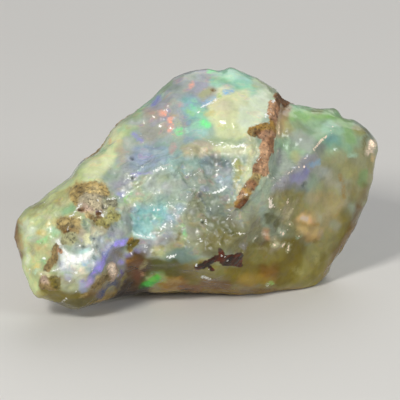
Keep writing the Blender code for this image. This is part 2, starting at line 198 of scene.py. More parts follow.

# Colour of the front, painted in this order. Some patches are painted shade and highlights, said at
# their groups. Each line is a patch: its colour, how much it covers, its half width, how soft its edge
# is, and the places that its middle runs through.
FRONT_COLOUR = (
    # the dome and its left bank
    ("lilac grey", 0.95, 2.4, 1.8, (-3.2, 16.8), (-0.4, 18.6), (1.0, 19.4)),
    ("potch", 0.90, 0.8, 1.0, (-2.6, 17.6), (-1.4, 18.4)),
    ("slate", 0.40, 0.4, 0.7, (-2.5, 18.6), (-1.8, 18.8)),
    ("sage", 0.90, 0.9, 0.9, (-5.4, 16.4), (-6.8, 15.0), (-9.2, 12.6), (-10.6, 11.4)),
    ("leaf", 0.45, 0.35, 0.5, (-5.0, 16.9), (-3.4, 18.3)),
    ("light grey", 0.70, 0.35, 0.5, (-5.7, 15.7), (-4.9, 15.8)),
    ("yellow green", 0.90, 1.0, 0.9, (-7.2, 15.0), (-8.0, 13.0), (-9.6, 11.2)),
    ("cream", 0.75, 0.8, 0.8, (-7.2, 14.9), (-7.8, 13.4), (-8.4, 12.2), (-9.2, 11.2)),
    ("potch", 0.95, 1.0, 0.9, (-5.8, 13.2), (-6.0, 11.0)),
    ("light grey", 0.70, 0.35, 0.5, (-6.0, 14.1), (-5.8, 13.7)),
    ("warm grey", 0.90, 0.8, 0.8, (-4.4, 14.9), (-3.0, 14.9)),
    ("rose beige", 0.60, 0.45, 0.6, (-4.1, 16.5), (-3.4, 16.4)),
    ("blue grey", 0.95, 0.8, 0.8, (-4.9, 13.1), (-3.8, 13.3)),
    ("blue grey", 0.85, 0.7, 0.8, (-5.2, 12.2), (-3.8, 12.3)),
    ("lilac", 0.45, 0.4, 0.5, (-4.8, 12.7), (-4.0, 12.5)),
    ("ice blue", 0.95, 0.6, 0.7, (-3.2, 13.0), (-2.8, 12.5)),
    ("aqua", 0.70, 0.4, 0.6, (-2.4, 12.7), (-2.1, 12.3)),
    ("teal grey", 0.95, 1.2, 1.2, (-1.5, 12.5), (0.2, 11.8)),
    ("teal grey", 0.50, 0.5, 0.6, (-3.2, 14.0), (-2.8, 13.9)),
    # the top, the cream window and the green flashes
    ("green grey", 0.50, 0.5, 0.6, (-0.9, 19.8), (-0.3, 19.8)),
    ("mint", 0.95, 0.9, 0.8, (2.6, 19.9), (4.0, 19.5), (5.0, 18.9)),
    ("pale mint", 0.80, 0.40, 0.5, (2.8, 19.9), (3.3, 19.7)),
    ("teal", 0.50, 0.45, 0.6, (3.6, 19.3), (4.6, 19.5)),
    ("sage", 0.80, 0.5, 0.6, (5.3, 19.2), (6.3, 18.5), (6.8, 18.0)),
    ("mint", 0.90, 0.35, 0.4, (1.4, 19.4), (1.9, 18.9)),
    ("light khaki", 0.60, 0.4, 0.5, (0.5, 18.2), (1.1, 18.5)),
    ("aqua", 0.75, 0.9, 1.0, (-0.6, 17.3), (-0.2, 16.4), (-0.2, 15.0)),
    ("mint", 0.90, 0.65, 0.8, (0.4, 16.6), (1.0, 16.0), (0.7, 15.6)),
    ("teal", 0.50, 0.35, 0.5, (-0.4, 15.9), (0.1, 15.8)),
    ("pale cyan", 0.50, 0.4, 0.6, (-0.3, 14.8), (0.4, 14.6)),
    ("cream", 0.97, 1.6, 0.7, (2.6, 17.1), (3.0, 15.8), (4.0, 16.2)),
    ("warm cream", 0.75, 0.6, 0.7, (1.9, 17.5), (2.4, 16.9)),
    ("yellow green", 0.55, 0.6, 0.7, (2.2, 14.9), (3.4, 14.8)),
    ("pale cream", 0.90, 1.1, 0.9, (4.6, 16.2), (5.4, 17.4)),
    ("cream", 0.85, 0.4, 0.5, (3.2, 18.2), (4.2, 18.3)),
    # the crest and the hollow under it
    ("beige", 0.85, 0.6, 0.6, (-0.9, 13.4), (0.4, 13.4), (1.1, 13.5)),
    ("cream", 0.80, 0.45, 0.5, (1.8, 13.4), (4.4, 13.3)),
    ("cream", 0.70, 0.5, 0.6, (4.7, 14.2), (5.0, 13.2)),
    ("slate", 0.95, 0.6, 0.7, (1.0, 12.3), (2.3, 12.1)),
    ("dark slate", 0.45, 0.35, 0.5, (1.2, 12.2), (2.1, 12.2)),
    ("lilac grey", 0.75, 0.4, 0.5, (1.8, 11.4), (2.7, 11.4)),
    ("mauve grey", 0.80, 0.7, 0.8, (-0.2, 10.8), (1.5, 10.7)),
    ("ice blue", 0.60, 0.45, 0.6, (2.0, 10.8), (2.8, 10.7)),
    ("light khaki", 0.90, 0.35, 0.4, (3.4, 12.2), (3.7, 11.5)),
    ("cream", 0.85, 0.35, 0.4, (4.7, 12.8), (4.5, 11.6), (4.3, 10.6)),
    ("light grey", 0.85, 0.8, 0.8, (-3.6, 10.6), (-3.0, 9.9)),
    ("sage", 0.45, 0.40, 0.5, (-3.4, 10.9), (-3.0, 10.8)),
    # the broken middle, and the teal hollow on its left
    ("stone grey", 0.85, 1.6, 1.2, (0.2, 10.4), (1.2, 9.6), (2.0, 9.2)),
    ("ice blue", 0.30, 0.5, 0.7, (2.2, 10.6), (2.6, 9.6)),
    ("pewter", 0.90, 0.9, 1.0, (0.6, 8.6), (1.6, 8.2), (2.4, 7.8)),
    ("pewter", 0.70, 0.7, 0.9, (1.2, 7.4), (2.4, 7.2), (3.0, 8.4)),
    ("drab", 0.85, 0.8, 0.8, (-0.2, 8.4), (-0.5, 7.2)),
    ("olive", 0.40, 0.4, 0.5, (-0.6, 7.1), (-0.4, 6.6)),
    ("lilac grey", 0.80, 0.7, 0.8, (-7.0, 10.2), (-6.2, 10.0)),
    ("teal grey", 0.70, 0.6, 0.7, (-4.6, 8.4), (-3.2, 9.0)),
    ("slate", 0.60, 0.45, 0.6, (-6.2, 7.3), (-5.8, 6.7)),
    ("aqua", 0.95, 0.9, 0.8, (-5.0, 7.6), (-3.8, 7.6), (-3.1, 7.6)),
    ("teal", 0.55, 0.5, 0.7, (-4.6, 7.2), (-3.6, 7.4)),
    ("sea green", 0.30, 0.35, 0.5, (-3.6, 7.6), (-3.2, 7.3)),
    ("aqua", 0.90, 0.60, 0.6, (-5.0, 6.5), (-4.3, 6.5)),
    ("pale cyan", 0.55, 0.40, 0.6, (-4.4, 6.7), (-3.5, 6.8)),
    ("ice blue", 0.80, 0.55, 0.6, (-2.1, 7.4), (-1.6, 8.0)),
    ("potch", 0.85, 0.5, 0.6, (-2.6, 6.6), (-2.2, 5.8)),
    ("drab", 0.60, 0.6, 0.7, (-1.3, 7.0), (-1.6, 6.8)),
    ("bog", 0.80, 1.2, 1.2, (1.0, 6.2), (2.6, 6.2)),
    ("drab", 0.75, 0.9, 1.0, (3.6, 7.2), (4.6, 6.8)),
    # under the middle, where the colours low down are painted darker as shade under the stone
    ("lilac grey", 0.90, 0.7, 0.7, (-4.6, 5.2), (-3.2, 5.3), (-2.6, 5.4)),
    ("khaki", 0.75, 0.7, 0.8, (-2.0, 4.8), (-0.6, 5.2), (0.8, 5.6)),
    ("drab", 0.90, 1.0, 1.0, (-0.4, 5.4), (0.4, 5.4)),
    ("bog", 0.80, 1.0, 1.0, (1.2, 5.0), (2.4, 5.6), (3.6, 5.4)),
    ("olive", 0.35, 1.0, 1.0, (1.6, 5.2), (3.4, 5.0), (4.4, 5.6)),
    ("mauve grey", 0.90, 0.5, 0.5, (-5.2, 4.4), (-4.4, 4.5)),
    ("light khaki", 0.70, 0.4, 0.5, (-3.7, 4.5), (-3.2, 4.5)),
    ("teal slate", 0.90, 0.8, 0.8, (-2.0, 3.8), (-0.6, 4.1)),
    ("dark olive", 0.95, 0.8, 0.8, (-4.4, 3.2), (-2.8, 2.9), (-1.4, 2.6)),
    ("shadow", 0.70, 0.4, 0.5, (-3.6, 3.4), (-2.2, 3.2)),
    ("olive", 0.95, 1.2, 0.9, (0.0, 2.4), (3.0, 2.2), (6.4, 2.4), (8.6, 2.8)),
    ("khaki", 0.60, 0.5, 0.6, (0.4, 2.6), (2.0, 2.7)),
    ("brown", 0.70, 0.45, 0.5, (0.6, 1.6), (2.6, 1.4)),
    ("tan", 0.50, 0.6, 0.7, (4.2, 1.8), (6.6, 2.2)),
    ("bog", 0.60, 0.5, 0.6, (1.4, 4.6), (1.2, 4.2)),
    ("amber", 1.00, 0.55, 0.5, (-2.9, 1.5), (-1.4, 1.6)),
    ("brown", 0.90, 0.35, 0.4, (-1.2, 1.2), (0.2, 1.1)),
    ("moss", 0.50, 0.5, 0.5, (-3.2, 2.2), (-4.4, 2.2)),
    ("green flash", 1.00, 0.30, 0.25, (-3.5, 2.05), (-4.0, 1.75), (-4.8, 1.3)),
    # the neck between the belly and the lobe, painted dark as shade over its own browns
    ("umber", 0.95, 1.0, 0.7, (-5.2, 3.4), (-5.6, 2.0), (-6.2, 1.0)),
    ("brown", 0.85, 0.4, 0.5, (-6.1, 3.3), (-5.5, 3.5), (-4.9, 3.3)),
    ("red brown", 0.80, 0.35, 0.5, (-5.2, 2.8), (-5.4, 2.2)),
    ("peat", 0.95, 0.6, 0.6, (-4.6, 0.7), (-6.0, 0.5), (-7.2, 0.1)),
    ("peat", 0.80, 0.4, 0.6, (-6.0, 1.6), (-6.8, 1.0)),
    # the lobe: its ground, edges and soft fields
    ("dry grass", 0.90, 3.0, 1.6, (-12.4, 7.2), (-13.0, 4.4), (-11.6, 2.4)),
    ("khaki", 0.80, 0.4, 0.6, (-12.9, 8.9), (-14.4, 8.2), (-15.3, 7.3)),
    ("yellow green", 0.40, 2.6, 1.6, (-13.2, 7.0), (-13.6, 4.4)),
    ("yellow green", 0.50, 0.6, 0.7, (-14.8, 7.2), (-13.6, 7.6), (-12.6, 8.0)),
    ("yellow green", 0.85, 0.5, 0.6, (-9.6, 10.8), (-10.8, 10.4), (-12.4, 9.9)),
    ("light khaki", 0.75, 0.45, 0.6, (-12.2, 9.0), (-10.9, 9.5)),
    ("leaf", 0.55, 0.35, 0.6, (-11.5, 8.0), (-10.9, 8.5)),
    ("pale cream", 0.45, 0.5, 0.6, (-15.0, 6.9), (-14.5, 5.6)),
    ("yellow green", 0.95, 0.50, 0.5, (-13.5, 6.7), (-12.7, 6.4)),
    ("pale cream", 0.50, 0.45, 0.5, (-14.2, 6.3), (-13.8, 5.9)),
    ("yellow", 0.90, 0.28, 0.4, (-13.8, 6.1), (-13.4, 6.1)),
    ("pale mint", 0.60, 0.30, 0.4, (-12.7, 6.6), (-12.3, 6.3)),
    ("sand", 0.40, 0.40, 0.5, (-13.9, 4.7), (-13.4, 4.6)),
    ("yellow green", 0.60, 0.50, 0.6, (-14.5, 4.4), (-14.4, 3.4)),
    ("brown", 0.80, 0.40, 0.5, (-15.9, 6.8), (-15.85, 5.6), (-15.7, 4.4), (-15.4, 3.6)),
    ("yellow green", 0.95, 0.50, 0.6, (-15.0, 3.4), (-14.8, 2.0), (-14.2, 1.2)),
    ("olive", 0.90, 0.7, 0.7, (-13.2, 0.9), (-11.8, 0.5), (-10.4, 0.3)),
    ("dark olive", 0.90, 0.5, 0.6, (-12.0, -0.2), (-10.6, -0.3), (-9.2, 0.2)),
    ("brown", 0.60, 0.4, 0.5, (-9.6, 0.6), (-8.6, 1.1)),
    # the pale heart of the lobe, with a white glare across it that is a painted highlight
    ("light grey", 0.90, 1.1, 0.9, (-11.6, 4.4), (-10.2, 3.6), (-8.8, 4.6)),
    ("pale cream", 0.85, 0.9, 0.8, (-11.4, 3.2), (-10.2, 2.6)),
    ("lilac", 0.60, 0.5, 0.6, (-11.8, 3.2), (-11.0, 2.6)),
    ("white", 0.80, 0.50, 0.6, (-11.3, 3.9), (-10.4, 3.8), (-9.5, 4.1)),
    ("pale cyan", 0.80, 0.25, 0.3, (-10.4, 4.5), (-9.6, 4.5)),
    ("ice blue", 0.80, 0.45, 0.5, (-9.4, 3.4), (-9.2, 2.8), (-8.8, 3.8)),
    ("green grey", 0.80, 0.35, 0.4, (-11.2, 4.7), (-10.5, 4.5)),
    ("light grey", 0.90, 0.50, 0.5, (-8.7, 5.2), (-8.1, 4.9), (-8.4, 4.3)),
    ("lilac grey", 0.90, 0.60, 0.6, (-7.6, 6.4), (-7.2, 6.0)),
    ("warm cream", 0.60, 0.40, 0.5, (-10.4, 2.5), (-9.8, 2.3)),
    ("light khaki", 0.90, 0.60, 0.6, (-7.6, 8.6), (-7.4, 7.4)),
    ("sand", 0.90, 0.85, 0.8, (-10.4, 9.5), (-9.4, 9.6), (-8.7, 9.7)),
    ("beige", 0.90, 0.80, 0.7, (-9.6, 8.5), (-8.8, 8.2)),
    ("dun", 0.80, 0.50, 0.6, (-8.7, 7.1), (-8.1, 7.0)),
    ("sand", 0.80, 0.70, 0.7, (-11.5, 6.8), (-10.6, 6.8)),
    ("dry grass", 0.80, 0.50, 0.6, (-11.6, 5.6), (-10.8, 5.6)),
    ("sage", 0.80, 0.35, 0.4, (-9.9, 7.2), (-9.6, 6.5)),
    ("beige", 0.80, 0.40, 0.5, (-10.4, 6.3), (-10.1, 5.8)),
    ("beige", 0.95, 0.42, 0.25, (-9.0, 6.2), (-8.3, 6.15)),
    # the violet band and what lies beside it
    ("mauve grey", 0.95, 0.50, 0.4, (-7.4, 4.5), (-7.5, 3.9), (-6.9, 3.7)),
    ("lilac", 0.95, 0.40, 0.3, (-7.6, 4.9), (-8.0, 4.2), (-8.8, 3.0)),
    ("blue violet", 0.80, 0.22, 0.30, (-6.3, 5.5), (-7.2, 5.05), (-7.9, 4.3)),
    ("blue violet", 0.85, 0.26, 0.30, (-7.9, 4.3), (-8.3, 3.5), (-8.8, 2.65)),
    ("blue violet", 0.80, 0.26, 0.30, (-8.8, 2.65), (-9.35, 1.85)),
    ("lilac", 0.95, 0.36, 0.3, (-10.0, 1.7), (-9.95, 1.2)),
    ("dun", 0.70, 0.45, 0.5, (-8.0, 2.4), (-8.9, 1.4)),
    ("mauve grey", 0.70, 0.50, 0.5, (-6.6, 3.2), (-6.9, 4.6)),
    # right of the seam, above
    ("soft green", 0.95, 2.2, 1.6, (9.0, 14.6), (12.0, 14.4)),
    ("soft green", 0.90, 0.9, 1.0, (10.2, 15.4), (13.4, 14.0)),
    ("rust", 0.75, 0.5, 0.6, (7.5, 17.0), (8.1, 16.6)),
    ("pale rust", 0.60, 0.5, 0.6, (7.2, 16.2), (7.0, 15.0)),
    ("tan", 0.55, 0.6, 0.7, (7.8, 15.8), (7.9, 15.0)),
    ("leaf", 0.80, 0.5, 0.6, (8.8, 17.0), (9.6, 16.7)),
    ("apple green", 0.95, 0.5, 0.6, (8.6, 16.4), (10.4, 16.5), (12.4, 16.4), (13.4, 15.8)),
    ("apple green", 0.80, 0.5, 0.6, (13.2, 15.2), (13.6, 14.4)),
    ("light khaki", 0.80, 0.35, 0.4, (14.0, 15.3), (14.4, 14.9)),
    ("sage", 0.60, 0.4, 0.5, (8.8, 15.6), (9.2, 15.2)),
    ("pale mint", 0.80, 0.5, 0.6, (11.5, 15.4), (12.4, 15.1)),
    ("light grey", 0.80, 0.6, 0.7, (8.8, 14.4), (9.8, 13.8)),
    ("teal", 0.60, 0.5, 0.6, (11.6, 14.2), (12.3, 14.0)),
    ("aqua", 0.50, 0.35, 0.4, (11.6, 14.5), (12.0, 14.4)),
    ("mint", 0.60, 0.65, 0.6, (13.2, 13.1), (14.0, 13.2)),
    ("straw", 0.45, 0.40, 0.5, (8.7, 12.9), (8.9, 12.3)),
    ("mauve grey", 0.70, 0.5, 0.7, (10.9, 13.6), (10.6, 12.9)),
    # the band of blue that runs down to the left, and the far right
    ("light grey", 0.60, 0.6, 0.8, (7.4, 12.6), (7.8, 11.8)),
    ("lilac grey", 0.90, 0.8, 0.8, (9.8, 12.2), (8.6, 10.8), (7.4, 10.0)),
    ("lavender", 0.60, 0.40, 0.5, (9.3, 11.2), (8.4, 10.8)),
    ("dry grass", 0.95, 1.4, 1.3, (12.2, 12.0), (14.2, 11.8), (14.8, 12.6), (14.4, 9.8)),
    ("light grey", 0.75, 0.6, 0.7, (10.6, 11.7), (11.2, 11.2)),
    ("light khaki", 0.60, 0.6, 0.7, (13.2, 11.8), (14.0, 11.0)),
    ("moss", 0.60, 0.35, 0.4, (14.7, 11.2), (14.6, 10.4)),
    ("khaki", 0.60, 0.30, 0.4, (15.2, 12.3), (15.3, 11.6)),
    ("olive", 0.50, 0.5, 0.6, (13.6, 9.9), (13.7, 9.0)),
    ("beige", 0.60, 1.2, 1.2, (11.8, 9.8), (10.8, 8.6), (12.0, 8.0)),
    ("light khaki", 0.60, 0.8, 0.9, (11.2, 9.6), (12.0, 9.2)),
    ("slate", 0.70, 0.6, 0.7, (8.4, 9.7), (9.2, 9.5)),
    ("brown", 0.50, 0.35, 0.5, (14.8, 10.2), (14.4, 8.6)),
    # the clear bowl under it
    ("khaki", 0.90, 1.2, 1.2, (7.6, 8.6), (8.6, 7.2), (8.4, 8.8)),
    ("green grey", 0.50, 0.7, 0.8, (5.4, 9.4), (5.5, 7.9)),
    ("drab", 0.80, 0.9, 0.9, (4.4, 8.0), (4.8, 6.4), (5.8, 5.4)),
    ("olive", 0.40, 0.8, 0.9, (5.0, 6.4), (6.4, 5.6), (8.4, 5.6)),
    ("dark olive", 0.75, 0.55, 0.5, (6.4, 7.3), (6.9, 6.9)),
    ("khaki", 0.90, 1.4, 1.3, (12.6, 6.6), (11.2, 4.4), (10.0, 2.6)),
    ("sand", 0.50, 1.0, 1.0, (10.6, 8.6), (12.2, 8.4), (11.8, 7.2)),
    ("light khaki", 0.60, 0.5, 0.7, (9.4, 8.1), (10.8, 8.3)),
    ("teal grey", 0.35, 0.35, 0.5, (11.9, 6.8), (12.3, 6.6)),
    ("olive", 0.55, 0.5, 0.8, (13.2, 7.8), (13.1, 6.6), (12.2, 4.6)),
    ("olive", 0.60, 0.6, 0.7, (11.2, 4.0), (10.4, 2.2)),
    ("brown", 0.70, 0.35, 0.5, (14.4, 8.2), (13.4, 6.0), (12.4, 4.2), (11.2, 1.8)),
    ("sand", 0.95, 0.9, 0.9, (9.6, 7.2), (10.2, 6.2)),
    ("tan", 0.80, 0.35, 0.5, (9.6, 5.6), (10.5, 5.6)),
    # a thin tan line of painted shadow, and just above it the gold and peach glow, a painted highlight
    ("tan", 0.80, 0.10, 0.4, (9.4, 6.85), (10.6, 6.8)),
    ("gold", 0.45, 0.45, 0.8, (9.1, 6.2), (10.5, 6.1)),
    ("gold", 1.00, 0.34, 0.45, (9.15, 7.4), (9.85, 7.2)),
    ("peach", 1.00, 0.20, 0.25, (9.3, 7.35), (9.65, 7.25)),
    ("olive", 0.95, 1.2, 1.0, (4.8, 3.9), (6.6, 4.3), (8.6, 4.6)),
    ("khaki", 0.60, 0.7, 0.8, (5.2, 4.2), (7.0, 4.4)),
    ("brown", 0.60, 0.6, 0.8, (5.9, 2.9), (6.7, 2.7)),
    ("beige", 0.45, 0.35, 0.5, (7.0, 5.0), (6.7, 4.6)),
    ("beige", 0.40, 0.40, 0.5, (8.0, 8.4), (7.7, 7.8)),
    ("apricot", 0.90, 0.26, 0.4, (6.0, 6.3), (6.1, 5.8)),
)

# Small marks and flashes of the front, with ragged edges; some are painted highlights and glints,
# said at their groups. Each line is a colour, how much it covers, its half width, and the places that
# its middle runs through.
FRONT_MARKS = (
    # the dome and its left bank
    ("moss", 0.50, 0.30, (-3.1, 18.7), (-2.4, 19.2)),
    ("leaf", 0.75, 0.26, (-8.6, 13.4), (-8.2, 13.3)),
    ("leaf", 0.55, 0.20, (-7.8, 13.9), (-7.5, 13.7)),
    ("mint", 0.60, 0.22, (-6.8, 15.1), (-6.5, 15.2)),
    ("beige", 0.55, 0.28, (-6.8, 13.9), (-6.5, 12.5)),
    ("pink", 0.80, 0.20, (-2.4, 13.1), (-2.0, 13.7)),
    ("sky", 0.95, 0.18, (-5.3, 14.8), (-5.1, 14.7)),
    ("lavender", 0.95, 0.22, (-5.6, 14.8), (-5.2, 14.4), (-4.9, 14.3)),
    ("lavender", 1.00, 0.13, (-5.7, 11.15), (-4.9, 11.3), (-4.0, 11.4)),
    ("blue violet", 0.95, 0.26, (-3.8, 17.5), (-3.5, 17.9)),
    ("salmon", 1.00, 0.20, (-3.2, 16.55), (-2.8, 16.45), (-2.6, 16.3)),
    ("sand", 0.70, 0.16, (-2.4, 16.4), (-1.9, 16.3)),
    ("salmon", 1.00, 0.24, (-2.4, 16.0), (-2.1, 15.6)),
    ("salmon", 0.70, 0.14, (-2.3, 15.3), (-2.4, 15.0)),
    ("yellow green", 0.70, 0.20, (-1.7, 15.8), (-1.6, 15.6)),
    ("apricot", 0.90, 0.13, (-7.7, 14.15)),
    # the top, the cream window and the green flashes
    ("salmon", 0.80, 0.14, (-0.6, 19.0), (-0.35, 19.15)),
    ("bright green", 0.95, 0.16, (1.1, 20.3), (1.5, 20.3)),
    ("tan", 0.60, 0.14, (1.3, 18.3), (1.3, 18.1)),
    ("brown", 1.00, 0.13, (1.35, 18.52)),
    ("lilac", 0.75, 0.30, (-1.0, 17.2), (-0.7, 17.1)),
    ("pink", 0.80, 0.18, (-1.5, 17.25), (-1.3, 17.3)),
    ("teal", 0.60, 0.25, (-1.1, 17.9), (-1.0, 17.8)),
    ("mint", 0.90, 0.20, (-0.4, 17.6), (-0.2, 17.6)),
    ("spot green", 0.55, 0.30, (-0.7, 16.7), (-0.5, 16.5)),
    ("blue grey", 0.70, 0.30, (-0.9, 14.3), (-0.5, 14.3)),
    ("mint", 0.80, 0.30, (-0.3, 15.4), (0.2, 15.4)),
    ("sage", 0.50, 0.14, (3.3, 15.5), (3.5, 15.3)),
    ("straw", 0.80, 0.20, (0.8, 16.5), (1.4, 16.6)),
    ("bright green", 1.00, 0.26, (0.5, 15.7), (1.0, 15.5)),
    ("bright green", 1.00, 0.22, (-1.7, 15.0), (-1.3, 15.05)),
    ("bright green", 0.80, 0.14, (-1.7, 14.7), (-1.4, 14.8)),
    ("pale mint", 0.90, 0.12, (-1.0, 15.15), (-0.7, 14.8)),
    ("bright green", 0.70, 0.10, (-0.5, 17.2), (-0.3, 17.0)),
    ("sky", 1.00, 0.15, (0.5, 17.3), (1.0, 17.6), (1.6, 18.0)),
    ("spot green", 0.80, 0.12, (1.9, 18.1), (2.2, 18.2)),
    ("sky", 1.00, 0.13, (2.4, 18.35), (2.8, 18.4), (3.15, 18.55)),
    # the crest and the hollow under it
    ("warm cream", 0.60, 0.25, (0.0, 13.3), (0.3, 13.2)),
    ("olive", 0.30, 0.20, (-0.4, 13.4), (-0.2, 13.4)),
    ("sage", 0.70, 0.30, (1.4, 14.0), (3.0, 14.05)),
    # the broken middle, and the teal hollow on its left
    ("lavender", 0.75, 0.24, (-6.9, 9.5), (-6.5, 9.4)),
    ("pale cyan", 0.90, 0.20, (-5.4, 6.0), (-4.2, 5.75), (-3.8, 5.6)),
    ("mauve grey", 0.60, 0.30, (-6.2, 8.1), (-5.7, 8.1)),
    ("sage", 0.70, 0.22, (-5.3, 10.3), (-5.2, 9.7)),
    ("spot green", 0.95, 0.30, (-6.0, 9.0), (-5.5, 9.3)),
    ("bright green", 0.75, 0.16, (-5.6, 9.3), (-5.4, 9.3)),
    ("yellow green", 0.80, 0.16, (-5.8, 8.95), (-4.9, 9.2)),
    ("pink", 0.80, 0.08, (-5.3, 9.5), (-4.7, 9.45)),
    ("lilac", 0.75, 0.14, (0.4, 9.85), (0.9, 9.85)),
    ("light khaki", 0.85, 0.28, (3.4, 10.9), (3.4, 10.2)),
    ("warm cream", 0.85, 0.16, (3.7, 10.2), (3.6, 9.6)),
    ("khaki", 0.60, 0.30, (2.8, 8.4), (3.1, 8.6)),
    ("dark slate", 0.90, 0.16, (0.2, 9.2), (0.5, 8.7), (0.7, 8.2), (1.0, 8.0), (1.2, 7.8)),
    ("shadow", 0.70, 0.14, (-0.35, 9.7), (-0.2, 9.0), (0.2, 8.4), (0.4, 7.8)),
    ("shadow", 0.80, 0.16, (0.5, 7.5), (1.2, 7.2)),
    ("shadow", 0.70, 0.18, (2.7, 6.4), (3.1, 6.1)),
    ("dark slate", 0.60, 0.14, (2.1, 7.7), (2.3, 7.7)),
    # under the middle
    ("spot green", 0.90, 0.22, (-1.25, 6.5), (-1.2, 5.8)),
    ("bright green", 0.50, 0.12, (-1.2, 6.3), (-1.1, 5.9)),
    ("olive", 0.90, 0.14, (-1.5, 6.3), (-1.8, 5.5)),
    ("olive", 0.85, 0.14, (-3.9, 4.3), (-3.7, 4.3)),
    ("olive", 0.60, 0.14, (-3.2, 4.8), (-3.0, 4.8)),
    ("lilac grey", 0.70, 0.22, (4.1, 4.9), (4.3, 4.9)),
    ("khaki", 0.80, 0.20, (1.8, 3.6), (2.2, 3.6)),
    ("sand", 0.55, 0.20, (-2.7, 1.8), (-1.6, 1.8)),
    ("amber", 0.65, 0.22, (0.2, 0.9), (3.8, 0.9), (7.0, 0.95)),
    ("dark olive", 0.60, 0.25, (-4.4, 2.5), (-3.9, 2.4)),
    # the neck between the belly and the lobe
    ("tan", 0.60, 0.20, (-6.1, 3.6), (-5.5, 3.5)),
    ("brown", 0.70, 0.20, (-5.4, 3.3), (-5.5, 2.6)),
    ("light khaki", 0.70, 0.16, (-4.5, 3.5), (-4.85, 3.0)),
    ("red brown", 0.60, 0.20, (-5.3, 1.95), (-5.2, 1.6)),
    ("khaki", 0.85, 0.14, (-6.35, 2.4), (-6.8, 1.7), (-7.0, 1.3)),
    ("apricot", 0.70, 0.10, (-4.85, 2.5), (-4.85, 2.4)),
    # the lobe: its ground, edges and soft fields
    ("yellow green", 0.75, 0.22, (-12.6, 9.3), (-13.8, 8.8)),
    ("tan", 0.30, 0.24, (-12.2, 8.7), (-11.8, 8.8)),
    ("cream", 0.60, 0.16, (-11.7, 8.7), (-11.2, 9.0)),
    ("olive", 0.45, 0.22, (-14.2, 8.4), (-13.3, 8.4)),
    ("khaki", 0.45, 0.22, (-14.6, 7.6), (-14.2, 7.7)),
    ("pale cream", 0.60, 0.14, (-12.25, 7.7)),
    ("peach", 0.25, 0.28, (-13.3, 7.5), (-12.9, 7.4)),
    ("straw", 0.95, 0.20, (-13.1, 6.75), (-12.6, 6.9), (-12.1, 7.1)),
    ("leaf", 0.50, 0.22, (-14.7, 5.7), (-14.2, 5.35)),
    ("pale mint", 0.95, 0.22, (-14.2, 5.3), (-13.6, 5.35), (-13.2, 5.5), (-12.8, 5.85)),
    ("bright green", 0.55, 0.14, (-13.9, 5.25), (-13.3, 5.45), (-12.9, 5.75)),
    ("leaf", 0.65, 0.18, (-12.6, 5.7), (-12.4, 6.1)),
    ("drab", 0.60, 0.26, (-14.5, 5.0), (-14.4, 4.3)),
    ("drab", 0.40, 0.20, (-15.1, 6.5), (-15.0, 6.1)),
    ("leaf", 0.70, 0.22, (-13.5, 3.6), (-13.3, 3.3)),
    ("moss", 0.70, 0.18, (-13.8, 3.35), (-13.6, 3.1)),
    ("yellow", 1.00, 0.20, (-14.1, 3.05), (-13.95, 3.1)),
    ("pale cream", 0.95, 0.10, (-14.75, 4.0), (-14.85, 3.4)),
    ("pale mint", 0.90, 0.20, (-14.0, 2.6), (-13.7, 2.5)),
    ("pale cream", 0.70, 0.12, (-13.2, 2.6), (-12.8, 2.9)),
    ("tan", 0.70, 0.22, (-15.6, 7.1), (-15.5, 6.8)),
    ("brown", 0.80, 0.30, (-15.8, 6.5), (-15.7, 5.4)),
    ("brown", 1.00, 0.30, (-15.7, 5.2), (-15.6, 4.2)),
    ("tan", 0.70, 0.18, (-15.4, 5.8), (-15.3, 4.8)),
    ("light khaki", 0.70, 0.25, (-13.9, 0.8), (-13.4, 0.5)),
    ("moss", 0.50, 0.30, (-11.6, 2.4), (-11.3, 2.4)),
    ("sand", 0.90, 0.12, (-10.3, 0.35), (-9.7, 0.65)),
    ("warm cream", 0.70, 0.20, (-13.6, 2.4), (-13.0, 2.5)),
    # the pale heart of the lobe: its white marks are a painted glare and painted glints
    ("white", 1.00, 0.24, (-12.05, 5.4), (-12.0, 5.05)),
    ("white", 1.00, 0.24, (-11.6, 4.5), (-11.45, 4.1)),
    ("white", 1.00, 0.30, (-11.2, 3.7), (-10.6, 3.7), (-10.0, 3.8)),
    ("white", 0.95, 0.26, (-9.9, 3.9), (-9.4, 4.2), (-9.2, 4.5)),
    ("white", 0.75, 0.14, (-11.4, 3.6), (-11.6, 3.2), (-12.2, 2.85)),
    ("mauve grey", 0.45, 0.20, (-12.2, 3.9), (-12.1, 3.4)),
    ("lilac", 0.70, 0.22, (-10.3, 5.4), (-10.1, 5.2)),
    ("light khaki", 0.80, 0.22, (-11.5, 5.4), (-11.2, 5.2)),
    ("sky", 1.00, 0.20, (-10.2, 3.25), (-9.95, 3.2)),
    ("dark slate", 0.80, 0.10, (-10.45, 3.35), (-10.4, 3.15)),
    ("dark slate", 0.90, 0.18, (-9.1, 4.9), (-9.05, 4.3), (-9.05, 3.8)),
    ("dark slate", 0.90, 0.20, (-10.3, 4.8), (-9.9, 5.0), (-9.4, 5.2)),
    ("slate", 0.80, 0.24, (-10.6, 5.2), (-10.5, 4.8)),
    ("peach", 0.85, 0.16, (-10.3, 2.85), (-10.0, 2.75)),
    ("pink", 0.40, 0.20, (-10.9, 3.1), (-10.7, 3.0)),
    ("lilac", 0.80, 0.20, (-11.4, 2.1), (-11.2, 2.0)),
    ("cream", 1.00, 0.28, (-9.65, 5.9), (-9.5, 5.35)),
    ("ink", 0.80, 0.16, (-9.15, 5.7), (-8.6, 5.45), (-8.1, 5.65), (-7.85, 5.8)),
    ("pale cream", 0.90, 0.20, (-8.9, 6.0), (-8.3, 5.95)),
    ("slate", 0.80, 0.20, (-8.9, 4.9), (-8.6, 4.7)),
    ("white", 0.90, 0.14, (-8.7, 4.3), (-8.3, 4.1)),
    ("white", 0.80, 0.10, (-9.15, 3.4), (-9.1, 2.8)),
    ("blue grey", 0.80, 0.14, (-8.6, 5.4), (-8.2, 5.3)),
